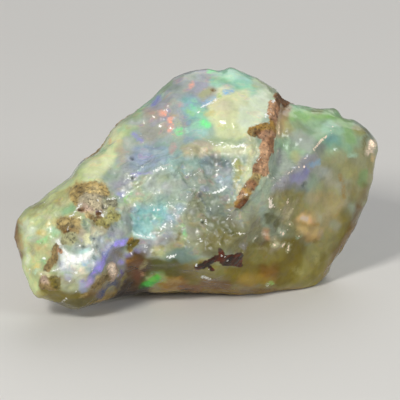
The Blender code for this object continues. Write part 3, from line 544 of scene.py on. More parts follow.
    ("lilac", 0.90, 0.22, (-8.3, 4.5), (-8.1, 4.6)),
    ("blue grey", 0.80, 0.20, (-7.6, 5.7), (-7.2, 5.5)),
    ("dark slate", 0.80, 0.18, (-7.5, 6.8), (-7.3, 6.3)),
    ("slate", 0.80, 0.16, (-7.1, 6.9), (-7.0, 6.6)),
    ("dark slate", 0.80, 0.16, (-9.9, 7.0), (-9.75, 6.5)),
    # the violet band and what lies beside it
    ("olive", 0.70, 0.20, (-6.8, 4.2), (-6.55, 4.1)),
    ("violet", 0.80, 0.16, (-6.15, 5.55), (-6.5, 5.35)),
    ("bright violet", 1.00, 0.22, (-6.5, 5.3), (-6.9, 5.1), (-7.3, 4.95)),
    ("lilac grey", 0.80, 0.20, (-7.5, 4.6), (-7.9, 4.1)),
    ("bright violet", 1.00, 0.26, (-8.15, 3.9), (-8.4, 3.3), (-8.7, 2.7)),
    ("bright violet", 1.00, 0.22, (-8.9, 2.5), (-9.15, 2.1)),
    ("pale sand", 0.90, 0.16, (-8.65, 2.2), (-8.9, 1.5), (-9.2, 1.3)),
    # a thin white line of painted glints along the band
    ("white", 0.60, 0.06, (-7.35, 5.4), (-7.75, 4.9), (-8.1, 4.4)),
    ("pink violet", 0.90, 0.26, (-9.3, 1.95), (-9.55, 1.6)),
    ("violet", 0.70, 0.13, (-6.7, 3.5), (-6.6, 3.5)),
    ("deep violet", 0.60, 0.20, (-6.1, 4.1), (-5.8, 4.3)),
    ("blue violet", 0.40, 0.16, (-5.4, 4.5), (-5.1, 4.5)),
    ("deep violet", 1.00, 0.24, (-6.7, 2.6), (-7.1, 2.1), (-7.4, 2.0)),
    ("bright violet", 0.80, 0.10, (-6.95, 2.3), (-7.1, 2.25)),
    ("ink", 1.00, 0.36, (-7.3, 1.7), (-8.0, 1.1), (-8.5, 0.6)),
    ("dark slate", 0.50, 0.20, (-7.5, 1.1), (-7.7, 0.9)),
    # right of the seam, above
    ("khaki", 0.60, 0.25, (10.3, 16.8), (10.8, 16.8)),
    ("spot green", 0.60, 0.22, (11.6, 16.3), (12.6, 16.1)),
    ("leaf", 0.60, 0.20, (12.3, 16.6), (12.6, 16.5)),
    ("olive", 0.80, 0.20, (14.8, 15.1), (15.0, 14.8)),
    ("olive", 0.70, 0.18, (14.75, 14.4), (14.8, 13.0)),
    ("mauve grey", 0.40, 0.26, (8.0, 14.8), (8.3, 13.4)),
    ("slate", 0.60, 0.18, (7.7, 14.3), (7.9, 14.1)),
    ("pale mint", 0.60, 0.22, (13.5, 12.95), (13.9, 12.85)),
    # the band of blue that runs down to the left, and the far right
    ("slate", 0.80, 0.20, (6.85, 13.9), (6.8, 12.4)),
    ("potch", 0.80, 0.22, (7.15, 13.4), (7.1, 12.2)),
    ("lavender", 1.00, 0.30, (9.5, 11.5), (9.9, 11.9)),
    ("sky", 0.80, 0.24, (10.0, 12.0), (10.7, 12.3)),
    ("sage", 0.60, 0.30, (10.6, 10.3), (10.9, 10.1)),
    ("tan", 0.80, 0.16, (12.6, 11.2), (12.9, 10.2), (12.9, 9.2)),
    ("dark slate", 0.70, 0.16, (9.35, 10.4), (9.3, 10.2)),
    ("dark slate", 0.50, 0.16, (10.9, 10.75), (11.1, 10.75)),
    # the clear bowl under it. Most of its cream and beige flecks and the salmon one are painted glints
    # inside the stone.
    ("beige", 0.95, 0.12, (7.35, 7.65), (7.7, 8.05)),
    ("beige", 0.70, 0.22, (7.9, 7.5), (8.0, 7.2)),
    ("beige", 0.60, 0.16, (7.45, 7.4), (7.5, 7.2)),
    ("beige", 0.60, 0.14, (8.65, 8.6), (8.85, 9.1)),
    ("peach", 1.00, 0.14, (5.85, 6.1), (6.05, 6.0)),
    ("apricot", 0.60, 0.16, (6.2, 5.6), (6.4, 5.3)),
    ("salmon", 0.40, 0.12, (10.0, 7.15), (10.2, 7.1)),
    ("olive", 0.70, 0.20, (10.4, 5.3), (10.8, 5.4)),
    ("mauve grey", 0.40, 0.20, (10.8, 6.1), (10.9, 5.7)),
    ("pale cream", 0.85, 0.18, (7.2, 6.25), (7.4, 6.0), (7.6, 6.1)),
    ("cream", 0.80, 0.20, (8.0, 6.9), (8.25, 6.85)),
    ("beige", 0.70, 0.14, (6.6, 5.6), (6.85, 5.75)),
    ("cream", 0.80, 0.20, (6.6, 5.0), (6.8, 5.15)),
    ("cream", 0.80, 0.14, (7.4, 4.9), (7.8, 5.1)),
    ("cream", 0.80, 0.16, (8.0, 4.5), (8.15, 4.95)),
    ("beige", 0.60, 0.12, (8.1, 8.1), (8.2, 8.2)),
    ("pale cream", 0.70, 0.12, (5.1, 5.3), (5.3, 5.6)),
    ("pale mint", 0.80, 0.16, (8.85, 5.75), (9.0, 5.8)),
    ("beige", 0.50, 0.12, (5.4, 4.7), (6.0, 4.6)),
    ("dark olive", 0.50, 0.22, (8.5, 6.2), (8.9, 6.1)),
    ("brown", 0.50, 0.24, (5.6, 5.2), (5.9, 5.4)),
    ("olive", 0.60, 0.16, (6.8, 4.3), (7.0, 3.9)),
    ("light khaki", 0.70, 0.22, (10.4, 4.2), (10.5, 3.4)),
    ("light khaki", 0.45, 0.30, (8.7, 2.8), (9.1, 2.7)),
    ("brown", 0.80, 0.16, (4.0, 0.9), (4.6, 0.95), (6.9, 0.95)),
    ("sage", 0.90, 0.10, (6.2, 1.45), (6.35, 1.6)),
    ("spot green", 0.90, 0.12, (6.45, 1.65), (6.6, 1.65)),
    # the peach and gold at the right end are a painted highlight
    ("peach", 1.00, 0.34, (15.5, 13.95), (15.35, 13.5), (15.2, 13.1)),
    ("gold", 0.80, 0.14, (15.45, 12.8), (15.5, 12.6)),
)

# Sandy brown matrix on the front, in the same form but with no amount: colour, half width,
# how soft its edge is, and the places.
FRONT_MATRIX = (
    # the seam, from the notch down
    ("brown", 0.34, 0.25, (7.4, 18.0), (7.7, 17.5)),
    ("sand", 0.28, 0.25, (6.95, 18.1), (7.1, 17.9)),
    ("rust", 0.38, 0.25, (7.0, 17.5), (6.85, 16.9), (6.65, 16.3)),
    ("old rose", 0.34, 0.25, (6.75, 16.3), (6.6, 15.4), (6.5, 14.6)),
    ("pale rust", 0.22, 0.20, (6.5, 17.5), (6.3, 16.6)),
    ("brown", 0.30, 0.25, (7.4, 17.9), (7.8, 17.5)),
    ("tan", 0.50, 0.20, (4.85, 14.9), (5.5, 15.0), (6.1, 15.1)),
    ("tan", 0.34, 0.25, (5.3, 15.25), (6.1, 15.45)),
    ("dun", 0.24, 0.20, (5.1, 14.7), (5.7, 14.5)),
    ("brown", 0.14, 0.25, (5.2, 14.85), (5.8, 14.8)),
    ("old rose", 0.42, 0.25, (6.15, 14.3), (6.1, 13.6), (5.95, 12.8)),
    ("rust", 0.16, 0.25, (6.5, 14.2), (6.5, 13.2)),
    ("old rose", 0.46, 0.25, (5.85, 12.6), (5.55, 12.0), (5.4, 11.5)),
    ("pale rust", 0.24, 0.20, (5.65, 13.6), (5.7, 12.9), (5.6, 12.5)),
    ("rust", 0.36, 0.25, (5.2, 11.8), (5.15, 11.0), (5.0, 10.5)),
    ("pale rust", 0.22, 0.15, (5.9, 12.0), (6.05, 11.4), (5.7, 11.2)),
    ("loam", 0.42, 0.25, (5.0, 10.5), (4.5, 9.9), (4.05, 9.3)),
    ("rust", 0.24, 0.20, (4.8, 10.2), (4.3, 9.6)),
    ("tan", 0.44, 0.20, (4.1, 9.1), (3.75, 8.6)),
    ("pale rust", 0.14, 0.12, (3.65, 9.2), (3.9, 9.5)),
    ("red brown", 0.18, 0.15, (4.2, 8.8), (3.75, 8.3)),
    # on the lobe, granular and soft edged
    ("loam", 0.95, 0.80, (-10.2, 9.4), (-9.4, 9.6), (-8.7, 9.6)),
    ("sand", 0.50, 0.50, (-9.2, 10.2), (-8.7, 10.0)),
    ("pale sand", 0.16, 0.40, (-9.0, 9.9), (-8.5, 9.4)),
    ("dun", 0.18, 0.60, (-10.3, 9.8), (-9.9, 9.3)),
    ("dun", 0.16, 0.40, (-9.6, 9.1), (-8.9, 9.1)),
    ("beige", 0.50, 0.60, (-9.5, 8.6), (-8.7, 8.4)),
    ("rose beige", 0.26, 0.40, (-10.0, 8.1), (-9.6, 8.0)),
    ("brown", 0.10, 0.30, (-10.3, 8.05), (-10.0, 8.1)),
    ("pale sand", 0.24, 0.40, (-9.6, 7.5), (-9.2, 7.4)),
    ("dun", 0.44, 0.60, (-8.7, 7.2), (-8.0, 6.9)),
    ("khaki", 0.22, 0.40, (-8.4, 6.85), (-8.1, 7.0)),
    ("light khaki", 0.40, 0.60, (-7.6, 7.6), (-7.1, 7.5)),
    ("drab", 0.34, 0.40, (-7.7, 8.7), (-7.2, 8.6)),
    ("deep violet", 0.10, 0.25, (-8.75, 7.8), (-8.45, 7.85)),
    ("brown", 0.14, 0.25, (-8.7, 7.7), (-8.5, 7.8)),
    ("loam", 0.75, 0.70, (-11.5, 6.8), (-10.8, 6.7)),
    ("dun", 0.30, 0.45, (-11.5, 6.2), (-11.0, 6.2)),
    ("brown", 0.14, 0.30, (-11.4, 6.1), (-11.1, 6.1)),
    ("dry grass", 0.30, 0.60, (-11.6, 5.4), (-10.9, 5.6)),
    ("dun", 0.58, 0.35, (-13.3, 1.7), (-12.4, 1.7)),
    ("rose beige", 0.20, 0.25, (-13.4, 2.1), (-13.1, 2.1)),
    ("olive", 0.22, 0.25, (-12.6, 2.1), (-12.2, 1.6)),
    ("dun", 0.34, 0.60, (-12.3, 4.8), (-12.6, 3.8), (-13.1, 3.0)),
    ("old rose", 0.14, 0.25, (-12.0, 4.55), (-11.9, 4.4)),
    ("rose beige", 0.40, 0.45, (-7.45, 3.1), (-7.35, 2.6), (-7.6, 2.2)),
    ("peach", 0.12, 0.25, (-7.6, 3.2), (-7.4, 2.6)),
    ("dun", 0.22, 0.35, (-8.1, 2.2), (-8.6, 1.65), (-9.1, 1.35)),
    ("dun", 0.24, 0.35, (-5.85, 5.6), (-5.7, 5.4)),
    ("tan", 0.30, 0.35, (-5.9, 5.2), (-5.9, 4.7)),
    ("olive", 0.26, 0.30, (-5.9, 4.9), (-5.3, 5.3)),
)

# Glossy dark red ironstone on the front: half width and places.
FRONT_IRONSTONE = (
    (0.50, (2.4, 3.72), (3.5, 3.7)),
    (0.24, (3.5, 4.1), (3.8, 4.15)),
    (0.22, (3.5, 3.35), (3.8, 3.3)),
    (0.26, (2.05, 4.55), (2.15, 4.1)),
    (0.24, (1.6, 3.9), (2.1, 3.95)),
    (0.25, (0.0, 3.1), (0.5, 3.25), (0.95, 3.45), (1.6, 3.85)),
    (0.20, (0.95, 3.3), (1.3, 2.8)),
)

# Painted glints along the edges of flakes, which show as pale specks: how strong they are, and their
# places.
FRONT_EDGE_GLINTS = (
    (0.60, (-5.0, 14.7), (-4.6, 14.55), (-4.5, 14.2), (-4.9, 14.0)),
    (0.50, (-3.9, 13.8), (-3.6, 13.4)),
    (0.60, (-7.6, 12.05), (-7.75, 11.85), (-7.62, 11.35), (-7.82, 11.25)),
    (0.85, (-5.95, 11.05), (-5.3, 11.2)),
    (0.60, (-5.3, 11.25), (-4.6, 11.4), (-3.9, 11.5)),
    (0.90, (-3.9, 11.5), (-3.5, 11.6), (-3.2, 11.7), (-2.9, 11.6), (-2.65, 11.75)),
    (0.80, (-5.85, 10.75), (-5.4, 10.8)),
    (0.70, (-5.1, 10.7), (-4.85, 10.93), (-4.6, 10.95), (-4.1, 10.95)),
    (0.70, (0.1, 16.65), (0.35, 16.8)),
    (1.00, (0.35, 17.1), (0.6, 17.2), (1.0, 17.42), (1.25, 17.6)),
    (0.90, (1.5, 17.72), (1.9, 17.95)),
    (0.80, (1.05, 14.15), (1.4, 13.8), (2.0, 13.8), (2.4, 13.58)),
    (1.00, (3.05, 13.55), (3.7, 13.75), (4.2, 13.8)),
    (0.80, (4.1, 14.05), (4.3, 13.6), (3.9, 13.1)),
    (0.70, (4.75, 13.75), (4.3, 13.4)),
    (0.70, (-0.6, 13.4), (-0.6, 12.85)),
    (0.80, (2.5, 12.4), (2.75, 12.25)),
    (1.10, (3.1, 12.15), (3.4, 12.5)),
    (0.75, (3.15, 12.1), (3.2, 11.4)),
    (0.80, (1.45, 11.45), (1.85, 11.45)),
    (0.74, (-1.3, 11.2), (-0.3, 11.15), (0.28, 11.55)),
    (0.72, (0.0, 9.55), (0.6, 9.42), (1.0, 9.45), (1.5, 9.5)),
    (0.70, (0.5, 9.75), (0.8, 9.85)),
    (1.10, (1.5, 9.55), (2.1, 9.75), (2.4, 9.95)),
    (0.90, (2.3, 10.12), (2.55, 10.12)),
    (0.80, (-1.05, 9.5), (-0.87, 9.42), (-1.0, 9.1)),
    (0.75, (-2.2, 8.7), (-2.6, 8.3), (-3.4, 8.1)),
    (0.85, (-4.25, 8.65), (-4.05, 8.72), (-3.9, 8.4), (-3.8, 8.1)),
    (0.80, (-2.1, 8.28), (-2.0, 7.95), (-2.15, 7.6), (-1.6, 7.6)),
    (0.90, (-2.3, 7.3), (-2.25, 6.7)),
    (0.80, (-2.2, 8.3), (-1.6, 8.1), (-1.0, 8.2)),
    (0.74, (-2.6, 8.6), (-2.1, 8.9), (-1.4, 9.0)),
    (0.74, (-2.3, 7.2), (-1.8, 7.5), (-1.3, 7.8), (-1.1, 8.1)),
    (0.90, (-5.4, 6.05), (-4.9, 5.9), (-4.2, 5.75), (-3.8, 5.6)),
    (0.85, (-3.35, 6.1), (-3.1, 6.4), (-3.4, 6.65)),
    (0.80, (0.25, 7.2), (0.75, 7.15), (0.8, 6.8)),
    (0.80, (2.6, 7.7), (2.9, 7.5), (2.6, 7.3)),
    (0.72, (2.7, 8.1), (3.0, 8.05)),
    (0.72, (-0.1, 6.5), (0.1, 6.1), (-0.05, 5.7), (0.3, 5.4)),
    (0.95, (0.2, 5.5), (0.38, 5.35)),
    (0.78, (2.4, 6.2), (2.5, 6.7)),
    (0.85, (3.5, 6.05), (3.8, 6.0), (4.15, 6.0)),
    (0.80, (-4.8, 4.98), (-4.4, 4.85)),
    (1.10, (-2.6, 4.0), (-1.9, 4.0)),
    (1.00, (0.4, 2.2), (1.2, 2.0)),
    (0.90, (6.05, 16.6), (6.0, 16.2)),
    (0.75, (6.35, 16.35), (6.5, 17.0)),
    (0.95, (6.62, 17.5), (6.8, 17.75)),
    (0.55, (5.5, 13.6), (5.55, 12.9), (5.75, 12.5)),
    (0.80, (5.48, 12.6), (5.3, 12.4)),
    (0.60, (12.0, 14.95), (11.35, 14.6)),
    (1.00, (11.3, 14.6), (10.95, 14.25), (10.65, 13.8), (10.25, 13.35)),
    (0.65, (10.2, 13.3), (9.5, 12.6)),
    (0.70, (9.4, 12.1), (9.0, 11.9), (8.4, 11.6), (7.7, 11.1)),
    (0.60, (7.5, 11.0), (6.7, 10.2)),
    (1.10, (6.35, 9.1), (6.45, 8.85), (6.4, 8.6), (6.38, 8.35)),
    (1.00, (6.6, 9.05), (6.45, 8.85)),
    (0.90, (6.7, 8.35), (6.5, 8.6)),
    (1.00, (8.05, 8.95), (8.05, 8.6)),
    (0.85, (5.25, 5.55), (5.1, 5.35)),
    (1.00, (7.7, 5.05), (7.5, 4.9)),
    (1.00, (8.1, 4.8), (7.95, 4.45)),
    (0.90, (6.15, 1.4), (6.3, 1.6)),
    (0.90, (-10.8, 7.7), (-10.7, 8.1), (-10.3, 8.4), (-10.0, 8.6)),
    (0.90, (-11.1, 7.57), (-10.8, 7.57)),
    (0.85, (-8.65, 8.0), (-8.1, 8.0)),
    (0.95, (-7.9, 8.97), (-7.1, 9.08)),
    (0.80, (-11.4, 6.35), (-11.1, 6.7)),
    (0.90, (-12.6, 2.73), (-12.2, 2.85)),
    (0.90, (-9.15, 2.65), (-9.15, 3.05)),
    (0.90, (-11.7, 0.15), (-11.45, 0.45)),
    (0.80, (-10.65, 0.95), (-10.45, 1.15)),
    (1.00, (-12.1, 5.5), (-12.0, 5.0)),
    (1.10, (-11.5, 4.4), (-11.3, 3.7), (-10.8, 3.55), (-10.3, 3.75), (-9.7, 3.9), (-9.15, 4.6)),
)

# Small bright points painted into the colour: glints where a clean flake or a flaw inside catches
# the light. Each is (across, rise, radius).
FRONT_GLINTS = (
    (-13.35, 8.72, 0.09), (-8.7, 8.9, 0.10), (-8.25, 7.6, 0.17), (-7.85, 7.8, 0.09),
    (-13.45, 3.83, 0.15), (-14.6, 2.9, 0.13), (-13.6, 2.45, 0.10), (-13.7, 5.2, 0.08),
    (-10.3, 5.0, 0.15), (-10.55, 2.6, 0.18), (-8.7, 4.5, 0.08), (-8.1, 4.25, 0.08),
    (-7.62, 4.87, 0.09), (-7.35, 5.28, 0.09), (-11.1, 1.85, 0.09), (-5.88, 5.08, 0.08),
    (-6.75, 9.17, 0.09), (-6.15, 9.6, 0.08), (-5.45, 8.5, 0.16), (-3.8, 8.08, 0.11),
    (-3.45, 8.12, 0.10), (-4.15, 6.7, 0.07), (-2.7, 5.6, 0.09), (-3.35, 6.1, 0.14),
    (-4.8, 11.85, 0.06), (-1.2, 11.7, 0.07), (0.7, 12.42, 0.09), (2.95, 12.7, 0.08),
    (2.5, 11.28, 0.07), (4.48, 11.7, 0.10), (1.0, 17.4, 0.11), (0.1, 16.65, 0.10),
    (2.05, 10.12, 0.07), (-0.68, 8.62, 0.08), (-1.03, 8.17, 0.08), (1.87, 8.42, 0.08),
    (2.85, 8.1, 0.08), (3.0, 7.23, 0.08), (3.0, 10.3, 0.07), (3.17, 10.95, 0.07),
    (4.1, 4.95, 0.07), (2.08, 4.1, 0.11), (2.4, 4.05, 0.07), (2.7, 3.75, 0.12),
    (1.0, 2.9, 0.07), (-0.1, 3.3, 0.12), (6.72, 17.65, 0.14), (6.0, 16.45, 0.16),
    (8.13, 6.85, 0.14), (7.22, 6.2, 0.10), (7.5, 6.05, 0.16), (8.95, 5.75, 0.11),
    (6.75, 5.05, 0.16), (6.7, 5.6, 0.08), (7.15, 4.85, 0.08), (4.7, 7.3, 0.08),
    (10.75, 9.0, 0.08), (6.7, 10.83, 0.08), (7.3, 10.75, 0.07), (8.05, 11.35, 0.09),
    (9.5, 12.6, 0.10), (10.95, 14.25, 0.12), (11.92, 15.42, 0.09), (11.75, 15.1, 0.07),
    (7.9, 6.3, 0.08), (8.3, 7.5, 0.07), (7.2, 8.2, 0.07), (6.9, 7.8, 0.06),
    (7.7, 9.6, 0.07), (8.4, 8.2, 0.07), (7.4, 5.5, 0.07), (8.5, 5.3, 0.07),
)

# Holes and pits of the front: (across, rise, radius, depth). They are pressed into the skin, and
# painted darker as shade.
FRONT_PITS = (
    (-5.7, 12.62, 0.15, 0.20), (-5.65, 10.86, 0.13, 0.30), (-4.8, 11.98, 0.08, 0.14),
    (-7.65, 11.72, 0.08, 0.12), (-8.2, 8.38, 0.15, 0.34), (-7.95, 8.3, 0.12, 0.24),
    (-8.55, 7.85, 0.14, 0.16), (-10.9, 6.65, 0.16, 0.22), (-10.15, 8.1, 0.10, 0.14),
    (0.5, 6.98, 0.13, 0.26), (-8.8, 4.9, 0.07, 0.10), (6.15, 11.45, 0.08, 0.14),
    (3.45, 8.03, 0.09, 0.20), (-5.45, 4.23, 0.08, 0.14), (9.45, 10.4, 0.14, 0.10),
    (9.2, 10.2, 0.07, 0.08), (7.7, 10.45, 0.07, 0.08), (-13.6, 5.2, 0.06, 0.12),
    (5.3, 9.75, 0.06, 0.12), (5.5, 9.8, 0.06, 0.12),
)

# How broken and flaked the front is: how much, half width, softness and places. Elsewhere on the
# front it is the least.
FRONT_BROKEN_LEAST = 0.28
FRONT_BROKEN = (
    (0.95, 1.5, 1.2, (-5.6, 11.2), (-2.0, 11.6), (2.4, 12.6), (4.4, 12.4)),
    (1.00, 2.2, 1.4, (-4.6, 8.6), (0.0, 9.0), (3.2, 9.4)),
    (0.85, 2.0, 1.6, (-3.6, 5.8), (1.0, 6.2), (4.6, 6.2)),
    (0.90, 1.3, 1.2, (6.6, 10.4), (7.4, 8.4), (7.2, 5.6)),
    (0.60, 0.9, 0.9, (7.4, 12.6), (8.8, 11.8)),
    (0.70, 2.6, 1.6, (-12.2, 7.0), (-11.6, 3.4), (-8.6, 4.6), (-8.6, 8.6)),
    (0.50, 0.6, 0.8, (0.2, 17.0), (1.8, 18.0)),
    (0.46, 2.2, 1.6, (-3.4, 16.8), (-1.2, 15.4), (-4.4, 12.8)),
    (0.50, 0.8, 0.8, (2.6, 14.0), (4.6, 14.2)),
)

# Fields of colour on the sides that the photo doesn't show, painted in this order: the colour, and
# the level of noise from which it shows. Each field's lumps are a step smaller than the last one's.
UNSEEN_FIELDS = (
    ("light grey", -0.10), ("warm cream", 0.0), ("teal grey", 0.16), ("lilac grey", 0.18),
    ("pale mint", 0.14), ("yellow green", 0.12), ("beige", 0.20), ("cream", 0.22), ("mint", 0.28),
)
UNSEEN_SIZE = 6.4
UNSEEN_STEP = 0.4
UNSEEN_COVER = 0.80
UNSEEN_SOFT = 0.30
# Blotches in the matrix: colour, how much it covers, size, where its noise starts, and the level
# of noise at which it is whole. All show from the same level.
MATRIX_BLOTCHES = (
    ("rust", 0.8, 1.6, 2.0, 0.4),
    ("dun", 0.8, 1.2, 5.0, 0.4),
    ("pale sand", 0.9, 0.9, 8.0, 0.35),
)
BLOTCH_FROM = 0.05
# Where the seam runs over the top notch and down the back.
BACK_SEAM = ((7.8, 17.6), (7.2, 15.2), (7.9, 12.6), (6.6, 10.0), (6.9, 7.2), (5.8, 5.2))
# How strongly colours play: on the front, how much less in its glassy right, how much more behind.
PLAY = 0.12
GLASSY_LESS = 0.08
UNSEEN_MORE = 0.14

# Hues of the play of colour and of its small pins: the place on each ramp and the tint.
PLAY_HUES = (
    (0.10, "lavender"), (0.25, "sky"), (0.40, "teal"), (0.55, "mint"),
    (0.68, "cream"), (0.80, "salmon"), (0.92, "violet"),
)
PIN_HUES = ((0.15, "sky"), (0.4, "bright green"), (0.65, "salmon"), (0.85, "violet"))
# The strokes of that play lie turned by these angles and squeezed by these factors.
STROKE_TURN = (0.3, 0.5, 0.8)
STROKE_SQUEEZE = (1.0, 2.4, 1.6)
# Sizes in mm of the wavering and of the patterns that have cells.
WAVER_SIZE = 0.9
PLAY_SIZE = 1.0
PIN_SIZE = 0.30
CRACK_SIZE = 1.3
GRAIN_SIZE = 0.17
# Noise that the finishes read: the size of its lumps in mm, and how many finer steps it has. The
# last two follow the strokes of the play of colour.
NOISES = {
    "grit": (0.13, 2.0, "in_mm"),
    "fine": (0.24, 3.0, "in_mm"),
    "edge": (0.30, 3.0, "in_mm"),
    "blotch": (0.5, 3.0, "in_mm"),
    "iron_cloud": (0.9, 2.0, "in_mm"),
    "cloud": (1.3, 4.0, "in_mm"),
    "ragged": (0.45, 3.0, "stroke"),
    "streak": (0.28, 2.0, "stroke"),
}
# What paint() and flake() keep on the skin for the material to read.
KEPT_TINTS = ("body_tint", "mark_tint", "matrix_tint")
KEPT_SHARES = (
    "mark", "mark_cover", "matrix", "ironstone", "bruise", "pit", "clear", "play", "broken", "ridge",
)
# Where a Mix node has its share and colours among its inputs, and its colour among its outputs.
MIX_SHARE = 0
MIX_UNDER = 6
MIX_OVER = 7
MIXED = 2

# The floor: a card this wide from its middle in m, with mottles this wide in mm.
FLOOR_HALF = 4.0
CARD_MOTTLE = 60.0
# Lamps: name, azimuth and elevation in degrees, distance and width in m, power in W, and colour.
LAMPS = (
    ("key", -32.0, 38.0, 0.30, 0.06, 0.57, "FFFDF8"),
    ("fill", 48.0, 26.0, 0.40, 0.12, 0.42, "F6FAFF"),
    ("back", 165.0, 40.0, 0.35, 0.28, 0.33, "FFFFFF"),
    ("sparkle", -11.0, 24.0, 0.30, 0.015, 0.02, "FFFFFF"),
    ("right_glow", 117.0, 4.0, 0.30, 0.05, 0.10, "FFE2C4"),
    ("left_low", -40.0, 12.0, 0.30, 0.05, 0.05, "FFFFFF"),
)


def linear(code):
    """The linear red, green and blue of an sRGB colour in six hex digits."""
    shares = [int(code[i:i + 2], 16) / 255.0 for i in (0, 2, 4)]
    return [s / 12.92 if s <= 0.04045 else ((s + 0.055) / 1.055) ** 2.4 for s in shares]


TINTS = {name: np.array(linear(code)) for name, code in PALETTE.items()}


def opaque(tint):
    """The four channels of a named tint, or of a grey that is given as a number."""
    return (*TINTS[tint], 1.0) if isinstance(tint, str) else (tint, tint, tint, 1.0)


def eased(value, low, high):
    """From 0 at low to 1 at high, with soft ends. Low may be the larger."""
    share = np.clip((value - low) / (high - low), 0.0, 1.0)
    return share * share * (3.0 - 2.0 * share)


def noise_at(places, size, start=0.0, octaves=1):
    """Smooth noise of about -1 to 1, with lumps about size mm wide."""
    spots = (places / size + start).tolist()
    if octaves == 1:
        return np.array([noise.noise(spot) for spot in spots])
    return np.array([noise.fractal(spot, 0.8, 2.0, octaves) for spot in spots])


def cells_at(places, size, start=0.0):
    """Distances to the two nearest of points strewn about size mm apart, as shares of size."""
    spots = (places / size + start).tolist()
    return np.array([noise.voronoi(spot)[0][:2] for spot in spots]).T


def line_distance(points, across, rise):
    """The distance from each place to a line of straight runs, or to a single point."""
    best = np.full(across.shape, np.inf)
    for (x0, y0), (x1, y1) in zip(points, points[1:] or points):
        run_x, run_y = x1 - x0, y1 - y0
        length = max(run_x**2 + run_y**2, 1e-9)
        share = np.clip(((across - x0) * run_x + (rise - y0) * run_y) / length, 0.0, 1.0)
        away = np.hypot(across - x0 - share * run_x, rise - y0 - share * run_y)
        best = np.minimum(best, away)
    return best


def blend(colours, tint, cover):
    """Lay a tint over the colours as far as it covers them."""
    colours += cover[:, None] * (tint - colours)


class Skin:
    """The stone's fine skin: its mesh, and where its points lie on the stone."""

    def __init__(self, mesh):
        self.mesh = mesh
        flat = np.empty(len(mesh.vertices) * 3)
        mesh.vertices.foreach_get("co", flat)
        self.places = flat.reshape(-1, 3) / MM
        mesh.vertices.foreach_get("normal", flat)
        self.normals = flat.reshape(-1, 3).copy()
        back = self.places[:, 1] + STAND_BACK
        up = self.places[:, 2]
        self.across = self.places[:, 0]
        self.rise = up * math.cos(LEAN) + back * math.sin(LEAN)
        depth = back * math.cos(LEAN) - up * math.sin(LEAN)
        lobe = eased(self.across, LOBE_BEND_FROM, LOBE_BEND_TO)
        self.inward = depth - HEART[2] - TURN * self.across + LOBE_BEND * lobe
        self.front = eased(self.inward, FRONT_GONE, FRONT_WHOLE)
        # Patches have wandering edges, because they are placed on coordinates that drift.
        self.drift_across = self.wander(4.0, 1.0)
        self.drift_rise = self.wander(9.0, 7.0)

    def wander(self, broad_start, fine_start):
        """How far each point drifts, in mm."""
        broad = BROAD_WANDER * noise_at(self.places, BROAD_WANDER_SIZE, broad_start)
        return broad + FINE_WANDER * noise_at(self.places, FINE_WANDER_SIZE, fine_start)

    def away_from(self, points, loose):
        """How far each point lies from a line or a spot of the front. It drifts by this share."""
        across = self.across + loose * self.drift_across
        rise = self.rise + loose * self.drift_rise
        return line_distance(points, across, rise)

    def patch(self, half_width, soft, points, loose=1.0):
        """How much of each point a patch of the front covers."""
        away = self.away_from(points, loose * min(WIDE_WANDER, half_width / WHOLE_WANDER_WIDTH))
        return self.front * eased(away, half_width + soft / 2.0, max(half_width - soft / 2.0, 0.0))

    def mark(self, half_width, points):
        """From 1 inside a small mark of the front, through 0.5 on its edge, to 0 outside."""
        away = self.away_from(points, MARK_WANDER)
        return self.front * np.clip(0.5 + (half_width - away) / MARK_EDGE, 0.0, 1.0)

    def tent(self, reach, points, loose):
        """From 1 on a line or a spot of the front down to 0 at this reach from it, evenly."""
        return self.front * np.clip(1.0 - self.away_from(points, loose) / reach, 0.0, 1.0)

    def keep(self, name, values):
        """Keep a number or a colour for each point, under a name that a material can read."""
        if values.ndim == 1:
            layer = self.mesh.attributes.new(name, "FLOAT", "POINT")
            layer.data.foreach_set("value", values.astype(np.float32))
            return
        layer = self.mesh.attributes.new(name, "FLOAT_COLOR", "POINT")
        whole = np.ones((len(values), 4), np.float32)
        whole[:, :3] = values
        layer.data.foreach_set("color", whole.ravel())


def back_seam(skin):
    """The brown seam where it crosses the top notch and runs on down the back."""
    away = skin.away_from(BACK_SEAM, BACK_SEAM_WANDER)
    return eased(away, 0.75, 0.3) * eased(skin.inward, 0.0, 1.0)


def raised_crust(skin):
    """The crust on the back and the left end. The same noise raises it in the solid."""
    spots = np.stack((skin.across - HEART[0], skin.rise - HEART[1], skin.inward), axis=1)
    ways = spots / np.linalg.norm(spots, axis=1)[:, None]
    crusted_way = np.array((-0.35, -0.25, 0.55))
    patch = noise_at(spots, 5.5, np.array((3.1, 7.7, 1.3))) + ways @ crusted_way
    return np.clip(3.0 * (patch - 0.28), 0.0, 1.0) * (1.0 - skin.front)


